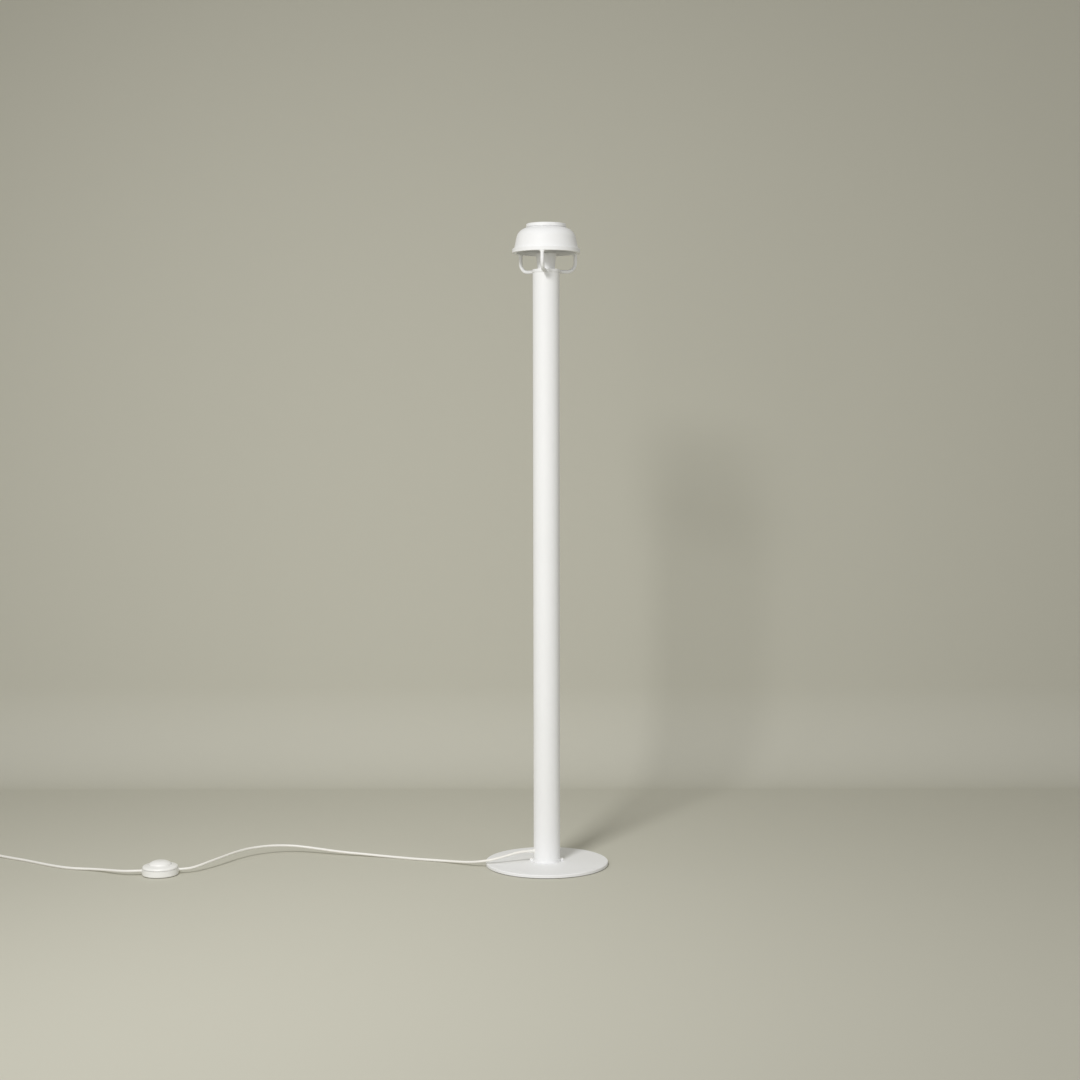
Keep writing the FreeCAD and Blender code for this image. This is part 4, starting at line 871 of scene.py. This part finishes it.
    def cup(self) -> None:
        """Tapered cup with its brim, and the lens and bezel in its mouth."""
        box, lens, bezel = Box.of("lamp_cup"), Box.of("led_lens"), Box.of("lens_bezel")
        seat, floor, bore, soft = lens.radius + SLIP, box.low.z + self.cup_floor, self.cup_bore, self.soft
        corners = [(ROD_BORE, box.low.z, 0), (self.cup_foot, box.low.z, 0.8 * MM), (box.radius, box.high.z, 0.5 * MM),
                   (seat, box.high.z, soft), (seat, lens.low.z, 0.1 * MM), (bore, lens.low.z, soft),
                   (bore, floor, 1 * MM), (ROD_BORE, floor, 0)]
        self.shop.piece("cup", [ring(corners, 160)], ["lamp_cup"])
        side = bezel.radius - self.bezel_width + SLIP
        hollow, brow = side - self.lens_wall, lens.high.z - self.lens_wall
        dish = [(0, brow, 0), (hollow, lens.low.z + self.lens_hollow, 1 * MM), (hollow, lens.low.z, soft),
                (lens.radius, lens.low.z, soft), (lens.radius, bezel.low.z, soft), (side, bezel.low.z, soft),
                (side, brow, self.lens_edge), (0, lens.high.z, 0)]
        self.shop.piece("lens", [solid(dish, 128, steps=8)], ["led_lens"])
        inner = side + 0.3 * MM
        frame = [(inner, bezel.low.z, 0.2 * MM), (bezel.radius, bezel.low.z, 0.2 * MM),
                 (bezel.radius, bezel.high.z, 0.4 * MM), (inner, bezel.high.z, 0.5 * MM)]
        self.shop.piece("bezel", [ring(frame, 128)], ["lens_bezel"])

    def build(self) -> None:
        """Makes the head's pieces."""
        self.cage()
        self.dome()
        self.cap()
        self.cup()


# ---------------------------------------------------------------- foot switch
@dataclass
class FootSwitch:
    """Housing, cover, button and spring of the switch in the lead."""

    shop: Workshop
    degrees: float = 17.0
    wall: float = 2.2 * MM
    seam: float = 15.4 * MM
    mouth: float = 25.0 * MM
    entry: float = 10.5 * MM
    bore: float = 3.15 * MM
    lip: float = 4.6 * MM
    side_height: float = 4.6 * MM
    slope: float = (8.4 - 4.6) / (39.3 - 25.0)
    skirt: float = 3.0 * MM
    stem: float = 5.0 * MM
    plunger: float = 3.0 * MM
    crown: float = 13.0 * MM
    wire: float = 0.6 * MM
    coil_radius: float = 8.0 * MM
    coil_turns: float = 2.5
    travel: float = 3.5 * MM

    @property
    def centre(self) -> Vector:
        """Its axis, on the floor."""
        at = Box.of("switch_base").middle
        return Vector((at.x, at.y, 0))

    def housing(self) -> None:
        """Lower housing with a lip round each entry of the lead, and the cover with its sloping top."""
        base, cover = Box.of("switch_base"), Box.of("switch_cover")
        radius = base.radius
        path = rounded([(0, base.low.z, 0), (radius, base.low.z, 2.6 * MM),
                        (radius, self.seam - 0.3 * MM, 0.6 * MM), (radius - 0.3 * MM, self.seam, 0)], steps=8)
        profile = np.concatenate([path, drawn_in(path, self.wall)[::-1]])
        profile[-1, 0] = 0.0
        shells = [lathe(profile, 160)]
        lip = ring([(self.bore, -1 * MM, 0), (self.lip, -1 * MM, 0), (self.lip, 0.5 * MM, 0.4 * MM),
                    (self.bore, 0.5 * MM, 0.25 * MM)], 48)
        for side in (0.0, 180.0):
            out = Matrix.Translation((radius, 0, self.entry)) @ Matrix.Rotation(math.pi / 2, 4, "Y")
            shells.append(lip.placed(Matrix.Rotation(math.radians(side), 4, "Z") @ out))
        place = turned(self.degrees, self.centre)
        self.shop.piece("switch_housing", [shell.placed(place) for shell in shells], ["switch_base"])
        rim, low, high = cover.radius, cover.low.z, cover.high.z
        side_top = low + self.side_height
        outer = rounded([(rim, low, 0), (rim, side_top, 4.5 * MM),
                         (self.mouth, side_top + self.slope * (rim - self.mouth), 0.6 * MM),
                         (self.mouth, high - 1.4 * MM, 0)], steps=8)
        inner = rounded([(self.mouth + 0.4 * MM, high - 2.2 * MM, 0), (rim - self.wall, side_top - 1.6 * MM, 2 * MM),
                         (rim - self.wall, low, 0)])
        profile = np.concatenate([outer, inner])
        self.shop.piece("switch_top", [lathe(profile, 160, looped=True).placed(place)], ["switch_cover"])

    def button(self) -> None:
        """Domed button over its stem."""
        box, cover = Box.of("switch_button"), Box.of("switch_cover")
        radius, top = self.mouth - 0.3 * MM, box.high.z
        foot = cover.low.z + self.skirt
        low, high = foot - 1 * MM, foot + 1 * MM
        top_shell = solid([(0, foot, 0), (radius, foot, 0.3 * MM), (radius, top - 5.8 * MM, 5 * MM),
                           (self.crown, top, 28 * MM), (0, top, 0)], 160, steps=14)
        stem = solid([(0, box.low.z, 0), (self.plunger, box.low.z, 0.5 * MM), (self.plunger, low, 0),
                      (self.stem, low, 0), (self.stem, high, 0), (0, high, 0)], 32)
        place = turned(self.degrees, self.centre)
        shells = [top_shell.placed(place), stem.placed(place)]
        self.shop.piece("push_button", shells, ["switch_button"], Body.BUTTON)

    def spring(self) -> None:
        """Return spring: a wire along a helix, its ring in the helix's own radial and binormal directions."""
        box = Box.of("button_spring")
        angle = np.linspace(0, TAU * self.coil_turns, 140)
        low, high = box.low.z + self.wire, box.high.z - self.wire
        radial = np.stack([np.cos(angle), np.sin(angle), np.zeros_like(angle)], axis=1)
        path = radial * self.coil_radius + np.outer(low + (high - low) * angle / angle[-1], [0, 0, 1])
        way = np.gradient(path, axis=0)
        way /= np.linalg.norm(way, axis=1)[:, None]
        coil = bar(path, radial, np.cross(way, radial), np.full((len(path), 2), self.wire), 12)
        made = self.shop.piece("return_spring", [coil.placed(turned(self.degrees, self.centre))], ["button_spring"])
        self.centre.x
        self.centre.y
        1 - (self.travel + SLIP) / (box.high.z - box.low.z)
        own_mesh(made)

    def build(self) -> None:
        """Makes the switch's pieces."""
        self.housing()
        self.button()
        self.spring()


# ---------------------------------------------------------------- lead
@dataclass
class Lead:
    """The mains lead's two stretches, its gland, its tied coil and its plug."""

    shop: Workshop
    radius: float = 3.0 * MM
    exit_bearing: float = 200.0
    exit_height: float = 32.0 * MM
    tip: float = 44.0 * MM
    gland_flange: float = 6.2 * MM
    groove: float = 0.35 * MM
    switch_bearing: float = 17.0
    switch_radius: float = 40.0 * MM
    entry: float = 10.5 * MM
    coil_at: tuple[float, float] = (-1338.0 * MM, -96.0 * MM)
    coil_start: float = 68.0
    coil_turns: float = 4.25
    coil_inner: float = 27.8 * MM
    coil_pitch: float = 6.6 * MM
    coil_low: float = 4.3 * MM
    coil_softness: float = 0.5
    coil_points: int = 16
    heading_step: float = 1e-4
    tie_bearing: float = -75.0
    tie_width: float = 12.0 * MM
    tie_thick: float = 1.0 * MM
    tie_edge: float = 0.35 * MM
    tie_tab: float = 6.5 * MM
    plug_bearing: float = -15.0
    plug_at: tuple[float, float] = (-1340.8 * MM, -159.1 * MM)
    plug_height: float = 6.85 * MM
    plug_face: float = 62.0 * MM
    plug_half: float = 17.5 * MM
    plug_neck: float = 8.0 * MM
    plug_edge: float = 1.8 * MM
    boot: float = 26.0 * MM
    pin_apart: float = 9.3 * MM
    exit_run: float = 20.0 * MM
    entry_run: float = 17.0 * MM
    coil_in_run: float = 28.0 * MM
    coil_out_run: float = 14.0 * MM
    to_switch: tuple[Corner, ...] = (
        (-92, -36, 23.5), (-128, -50, 16), (-172, -38, 8), (-236, -9, 3.4), (-303, 3, 3.05), (-370, 19, 3.1),
        (-435, 28, 5.5), (-490, 31, 8.5), (-545, 40, 12.5), (-598, 44, 17), (-648, 28, 20), (-690, -8, 21),
        (-714, -50, 20.5), (-731, -94, 19), (-747, -131, 17.5), (-761, -155.5, 14.6), (-774, -171.5, 12))
    to_coil: tuple[Corner, ...] = (
        (-918.1, -215, 9.8), (-943.4, -208, 8.6), (-972.4, -193.5, 6.3), (-1010, -180, 3.9), (-1060, -176, 3.05),
        (-1120, -152, 3.05), (-1190, -113, 3.05), (-1250, -87, 3.1))
    to_plug: tuple[Corner, ...] = ((-1387.8, -116.5, 9.9), (-1384, -134, 8.3), (-1372.6, -148, 7.2))

    def coil(self, angle: np.ndarray, widened: float = 1.0) -> np.ndarray:
        """Points of the coil's middle line.

        The radius is the inner one plus the pitch times the distance in turns from the middle, softened where it
        reverses, and the height climbs one pitch by a smooth step over the half turn about the middle.

        Args:
            angle: angles from the start, in radians.
            widened: what the radius is multiplied by.

        Returns:
            Points (n, 3).
        """
        away = angle - math.pi * self.coil_turns
        radius = (self.coil_inner + self.coil_pitch / TAU * np.hypot(away, self.coil_softness)) * widened
        share = np.clip(away / math.pi + 0.5, 0, 1)
        height = self.coil_low + self.coil_pitch * share ** 2 * (3 - 2 * share)
        turn = math.radians(self.coil_start) + angle
        return np.stack([self.coil_at[0] + radius * np.cos(turn), self.coil_at[1] + radius * np.sin(turn), height], 1)

    def coil_heading(self, angle: float) -> np.ndarray:
        """Direction of the coil's line at an angle, from two points close to it."""
        pair = self.coil(np.array([angle - self.heading_step, angle + self.heading_step]))
        return (pair[1] - pair[0]) / np.linalg.norm(pair[1] - pair[0])

    def routes(self) -> tuple[np.ndarray, np.ndarray]:
        """Control points of the stretch to the switch, and of the one from it through the coil to the plug."""
        switch = FootSwitch(self.shop).centre
        middle = np.array([switch.x, switch.y, self.entry])
        out = bearing(1.0, self.switch_bearing)
        leaving = bearing(self.exit_run, self.exit_bearing)
        right, left = middle + out * self.switch_radius, middle - out * self.switch_radius
        start = bearing(self.tip, self.exit_bearing, self.exit_height)
        stops = [right + out * self.entry_run, right]
        first = np.concatenate([[start, start + leaving], np.array(self.to_switch) * MM, stops])
        last = TAU * self.coil_turns
        step = TAU / self.coil_points
        angles = np.arange(step / 2, last, step)
        turns = self.coil(angles, 1 / math.cos(step / 2))
        into, away = self.coil_heading(0.0), self.coil_heading(last)
        start = self.coil(np.array([0.0]))[0] - into * 2 * self.radius
        stop = self.coil(np.array([last]))[0] + away * 2 * self.radius
        plug = np.array([*self.plug_at, self.plug_height])
        second = np.concatenate([
            [left, left - out * self.entry_run], np.array(self.to_coil) * MM,
            [start - into * self.coil_in_run, start], turns, [stop, stop + away * self.coil_out_run],
            np.array(self.to_plug) * MM,
            [plug - bearing(self.entry_run, self.plug_bearing), plug]])
        return first, second

    def curve(self, name: str, points: np.ndarray, nodes: Sequence[str]) -> bpy.types.Object:
        """Round cord along a quadratic spline whose ends are its first and last control points.

        Args:
            name: the object's name.
            points: control points (n, 3).
            nodes: CAD nodes that it replaces.

        Returns:
            The curve object.
        """
        data = bpy.data.curves.new(name, "CURVE")
        data.dimensions = "3D"
        spline = data.splines.new("NURBS")
        spline.points.add(len(points) - 1)
        spline.points.foreach_set("co", np.column_stack([points, np.ones(len(points))]).astype(np.float32).ravel())
        spline.order_u = 3
        spline.use_endpoint_u = True
        data.resolution_u = 8
        data.bevel_depth = self.radius
        data.bevel_resolution = 5
        data.use_fill_caps = True
        made = bpy.data.objects.new(name, data)
        bpy.context.scene.collection.objects.link(made)
        return self.shop.dress(made, nodes)

    def gland(self) -> None:
        """Gland at the tube: a flange, then a taper with shallow grooves."""
        tube = Box.of("column_tube").radius
        reach, bore, flange, depth = self.tip - tube, self.radius + 0.15 * MM, self.gland_flange, self.groove
        taper = [(4.6 * MM, 1.2 * MM, 0.3 * MM)]
        for i in range(4):
            at, across = (2.6 + 2.8 * i) * MM, (4.5 - 0.17 * i) * MM
            taper += [(across, at, 0.2 * MM), (across - depth, at + 0.3 * MM, 0.15 * MM),
                      (across - depth, at + 1.0 * MM, 0.15 * MM), (across - 0.05 * MM, at + 1.3 * MM, 0.2 * MM)]
        corners = [(bore, -4 * MM, 0), (flange, -2 * MM, 0), (flange, 1.0 * MM, 0.5 * MM), *taper,
                   (3.8 * MM, reach, 0.4 * MM), (bore, reach, 0.1 * MM)]
        shell = ring(corners, 64, steps=4)
        place = turned(self.exit_bearing) @ Matrix.Translation((tube, 0, self.exit_height))
        place = place @ Matrix.Rotation(math.pi / 2, 4, "Y")
        self.shop.piece("gland", [shell.placed(place)], ["cord_gland"])

    def tie(self) -> bpy.types.Object:
        """Woven strap round the coil: a flat section carried round an oblong path, with its end lapped on top."""
        box = Box.of("coil_tie")
        angle = math.radians(self.tie_bearing - self.coil_start) % TAU
        angles = np.arange(angle, TAU * self.coil_turns, TAU)
        radii = np.hypot(*(self.coil(angles)[:, :2] - np.array(self.coil_at)).T)
        slack = self.radius + 0.3 * MM + self.tie_thick / 2
        inner, outer = radii.min() - slack - 0.7 * MM, radii.max() + slack + 0.1 * MM
        low, high = self.tie_thick / 2, box.high.z - 1.5 * self.tie_thick
        path = rounded([(inner, low, slack), (outer, low, slack), (outer, high, slack), (inner, high, slack)],
                       looped=True, steps=10, hold=2 * MM)
        way = np.roll(path, -1, 0) - np.roll(path, 1, 0)
        way /= np.linalg.norm(way, axis=1)[:, None]
        normal = np.stack([way[:, 1], -way[:, 0]], axis=1)
        half, thick, edge = self.tie_width / 2, self.tie_thick / 2, self.tie_edge
        section = rounded([(-half, -thick, edge), (half, -thick, edge), (half, thick, edge), (-half, thick, edge)],
                          looped=True, steps=3)
        rings = np.zeros((len(path), len(section), 3))
        rings[:, :, 0] = path[:, None, 0] + section[None, :, 1] * normal[:, None, 0]
        rings[:, :, 1] = section[None, :, 0]
        rings[:, :, 2] = path[:, None, 1] + section[None, :, 1] * normal[:, None, 1]
        start, stop = (inner + outer) / 2 - self.tie_tab, (inner + outer) / 2 + self.tie_tab
        plan = rounded([(start, -half, 2 * MM), (stop, -half, 5 * MM), (stop, half, 5 * MM), (start, half, 2 * MM)],
                       looped=True, steps=8)
        tab = slab(plan, edge_rows(self.tie_thick, edge, high + thick))
        place = turned(self.tie_bearing, (*self.coil_at, 0))
        return self.shop.piece("strap", [skin(rings, looped=True).placed(place), tab.placed(place)], ["coil_tie"])

    def plug(self) -> list[bpy.types.Object]:
        """Plug: grooved relief, flat body with rounded rims and sleeved pins.

        Returns:
            The pieces.
        """
        place = turned(self.plug_bearing, (*self.plug_at, 0))
        lying = Matrix.Translation((0, 0, self.plug_height)) @ Matrix.Rotation(math.pi / 2, 4, "Y")
        start, bulge, face, neck, half = self.boot, self.boot + 17 * MM, self.plug_face, self.plug_neck, self.plug_half
        corners: list[Corner] = [(0, 0, 0), (3.7 * MM, 0, 0.5 * MM)]
        for i in range(1, 5):
            across, at = (3.7 + 1.5 * i / 5) * MM, 5.2 * i * MM
            floor = across - 0.7 * MM
            corners += [(across, at - 0.7 * MM, 0.25 * MM), (floor, at - 0.5 * MM, 0.2 * MM),
                        (floor, at + 0.5 * MM, 0.2 * MM), (across + 0.05 * MM, at + 0.7 * MM, 0.25 * MM)]
        relief = solid(corners + [(5.2 * MM, start, 0.1 * MM), (0, start, 0)], 56, steps=4).placed(place @ lying)
        plan = rounded([(start, -neck, 2 * MM), (bulge, -half, 9 * MM), (face, -half, self.plug_edge),
                        (face, half, self.plug_edge), (bulge, half, 9 * MM), (start, neck, 2 * MM)],
                       looped=True, steps=10, hold=1.5 * MM)
        body = slab(plan, edge_rows(2 * self.plug_height, self.plug_edge, 0.0))
        sleeve = solid([(0, -1 * MM, 0), (1.7 * MM, -1 * MM, 0), (1.7 * MM, 10 * MM, 0.1 * MM), (0, 10 * MM, 0)], 40)
        pin = solid([(0, 9.9 * MM, 0), (2 * MM, 9.9 * MM, 0.15 * MM), (2 * MM, 19 * MM, 1.2 * MM), (0, 19 * MM, 0)], 40)
        outs = [place @ Matrix.Translation((face, side * self.pin_apart, 0)) @ lying for side in (-1, 1)]
        sleeves, tips = [sleeve.placed(out) for out in outs], [pin.placed(out) for out in outs]
        return [self.shop.piece("plug_boot", [relief], ["plug_relief"]),
                self.shop.piece("plug_shell", [body.placed(place), *sleeves], ["plug_body"]),
                self.shop.piece("pins", tips, ["plug_pins"])]

    def build(self) -> None:
        """Makes the lead's two stretches, its gland, its strap and its plug."""
        first, second = self.routes()
        near = self.curve("lead_to_switch", first, ["cord_to_switch"])
        far = self.curve("lead_to_plug", second, ["cord_to_coil", "cord_coil", "cord_to_plug"])
        self.gland()
        strap, plug = self.tie(), self.plug()


# ---------------------------------------------------------------- studio
@dataclass(frozen=True)
class Softbox:
    """Square area light that faces a point."""

    name: str
    at: Corner
    towards: Corner
    side: float
    power: float
    spread: float = 180.0

    def hang(self, facing: Matrix) -> None:
        """Adds the light, hidden from the camera.

        Args:
            facing: turn from the camera's right, back and up to the frame's axes.
        """
        data = bpy.data.lights.new(self.name, "AREA")
        data.size = self.side
        data.energy = self.power
        data.spread = math.radians(self.spread)
        lamp = bpy.data.objects.new(self.name, data)
        aim = (Vector(self.towards) - Vector(self.at)).to_track_quat("-Z", "Y").to_matrix().to_4x4()
        lamp.matrix_world = facing @ Matrix.Translation(self.at) @ aim
        lamp.visible_camera = False
        bpy.context.scene.collection.objects.link(lamp)


@dataclass
class Studio:
    """Camera, swept backdrop and lights. Their places are (right, back, up) from the lamp, as the camera faces."""

    standpoint: Corner = (-0.0145, -4.0588, 0.9667)
    heading: float = 7.0
    pitch: float = 3.207
    roll: float = 0.085
    lens_mm: float = 60.13
    paper_colour: Colour = linear(199, 197, 184)
    wall_colour: Colour = linear(178, 175, 160)
    wall_distance: float = 1.12
    sweep_radius: float = 0.25
    paper_front: float = -12.0
    paper_height: float = 7.0
    paper_half_width: float = 12.0
    paper_fade: tuple[float, float] = (2.9, 5.5)
    ambient: float = 0.42
    softboxes: tuple[Softbox, ...] = (
        Softbox("key", (-1.1, -2.6, 2.7), (-0.35, 0.0, 0.2), 0.7, 18.2, 90.0),
        Softbox("left_fill", (-1.6, -3.4, 1.4), (0.0, 0.0, 0.7), 1.6, 15.7),
        Softbox("right_fill", (2.6, -2.2, 1.5), (0.0, 0.0, 0.7), 1.8, 9.3))

    @property
    def facing(self) -> Matrix:
        """Turn from the camera's right, back and up to the frame's axes."""
        return Matrix.Rotation(math.radians(self.heading), 4, "Z")

    def camera(self) -> None:
        """Camera at the photograph's place, tipped down and rolled."""
        data = bpy.data.cameras.new("view")
        data.lens = self.lens_mm
        data.sensor_width = 36.0
        camera = bpy.data.objects.new("view", data)
        tip = Matrix.Rotation(math.radians(90.0 - self.pitch), 4, "X")
        roll = Matrix.Rotation(math.radians(-self.roll), 4, "Z")
        camera.matrix_world = self.facing @ Matrix.Translation(self.standpoint) @ tip @ roll
        bpy.context.scene.collection.objects.link(camera)
        bpy.context.scene.camera = camera

    def paper(self) -> bpy.types.Material:
        """Matt paper, seen and lit from its front only, so that it hides nothing from a camera behind it.

        Its share of the backdrop's even colour rises smoothly with the distance from the lamp, and there it ends.

        Returns:
            The material.
        """
        shader = Shader("backdrop paper", {"Roughness": 0.9, "Specular IOR Level": 0.1,
                                           "Base Color": (*self.paper_colour, 1)})
        away = shader.node("ShaderNodeVectorMath", {"operation": "LENGTH"}, {0: shader.place()}).outputs["Value"]
        near, gone = self.paper_fade
        share = shader.node("ShaderNodeMapRange", {"interpolation_type": "SMOOTHSTEP"}, {0: away, 1: near, 2: gone})
        even = shader.node("ShaderNodeEmission", {}, {"Color": (*self.wall_colour, 1)})
        paper = shader.surface.outputs[0]
        faded = shader.node("ShaderNodeMixShader", {}, {0: share.outputs[0], 1: paper, 2: even.outputs[0]})
        behind = shader.node("ShaderNodeNewGeometry", {}, {}).outputs["Backfacing"]
        clear = shader.node("ShaderNodeBsdfTransparent", {}, {})
        mix = shader.node("ShaderNodeMixShader", {}, {0: behind, 1: faded.outputs[0], 2: clear.outputs[0]})
        shader.tree.links.new(mix.outputs[0], shader.tree.nodes["Material Output"].inputs[0])
        return shader.material

    def backdrop(self) -> None:
        """Paper that lies on the floor and sweeps up into a wall: one path of (back, up), carried to both sides."""
        path = rounded([(self.paper_front, 0, 0), (self.wall_distance, 0, self.sweep_radius),
                        (self.wall_distance, self.paper_height, 0)], steps=24)
        across = np.linspace(-self.paper_half_width, self.paper_half_width, 25)
        grid = np.zeros((len(path), len(across), 3))
        grid[..., 0], grid[..., 1], grid[..., 2] = across[None], path[:, :1], path[:, 1:]
        index = np.arange(grid[..., 0].size).reshape(grid.shape[:2])
        quads = np.stack([index[:-1, :-1], index[:-1, 1:], index[1:, 1:], index[1:, :-1]], axis=-1).reshape(-1, 4)
        rows = np.array(self.facing)[:3, :3]
        mesh = bpy.data.meshes.new("backdrop")
        mesh.from_pydata((grid.reshape(-1, 3) @ rows.T).tolist(), [], quads.tolist())
        mesh.shade_smooth()
        mesh.materials.append(self.paper())
        made = bpy.data.objects.new("backdrop", mesh)
        bpy.context.scene.collection.objects.link(made)

    def world(self) -> None:
        """Even ambient light, behind which camera, glossy and transmitted rays see the backdrop's colour."""
        world = bpy.data.worlds.new("studio")
        bpy.context.scene.world = world
        world.use_nodes = True
        nodes, links = world.node_tree.nodes, world.node_tree.links
        light = nodes["Background"]
        light.inputs[0].default_value = (1.0, 1.0, 1.0, 1.0)
        light.inputs[1].default_value = self.ambient
        backdrop = nodes.new("ShaderNodeBackground")
        backdrop.inputs[0].default_value = (*self.wall_colour, 1.0)
        rays = nodes.new("ShaderNodeLightPath")
        seen = rays.outputs["Is Camera Ray"]
        for output in ("Is Glossy Ray", "Is Transmission Ray"):
            either = nodes.new("ShaderNodeMath")
            either.operation = "MAXIMUM"
            links.new(seen, either.inputs[0])
            links.new(rays.outputs[output], either.inputs[1])
            seen = either.outputs[0]
        mix = nodes.new("ShaderNodeMixShader")
        for source, target in ((seen, 0), (light.outputs[0], 1), (backdrop.outputs[0], 2)):
            links.new(source, mix.inputs[target])
        links.new(mix.outputs[0], nodes["World Output"].inputs[0])

    def build(self) -> None:
        """Sets the whole studio."""
        self.camera()
        self.backdrop()
        self.world()
        for box in self.softboxes:
            box.hang(self.facing)
        bpy.context.scene.view_settings.view_transform = "Standard"


def main() -> None:
    logging.basicConfig(level=logging.INFO, format="%(name)s: %(message)s")
    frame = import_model()
    Studio().build()
    shop = Workshop(frame)
    for made in (FootSwitch(shop), Lead(shop), Stand(shop), Head(shop)):
        made.build()


if __name__ == "__main__":
    main()
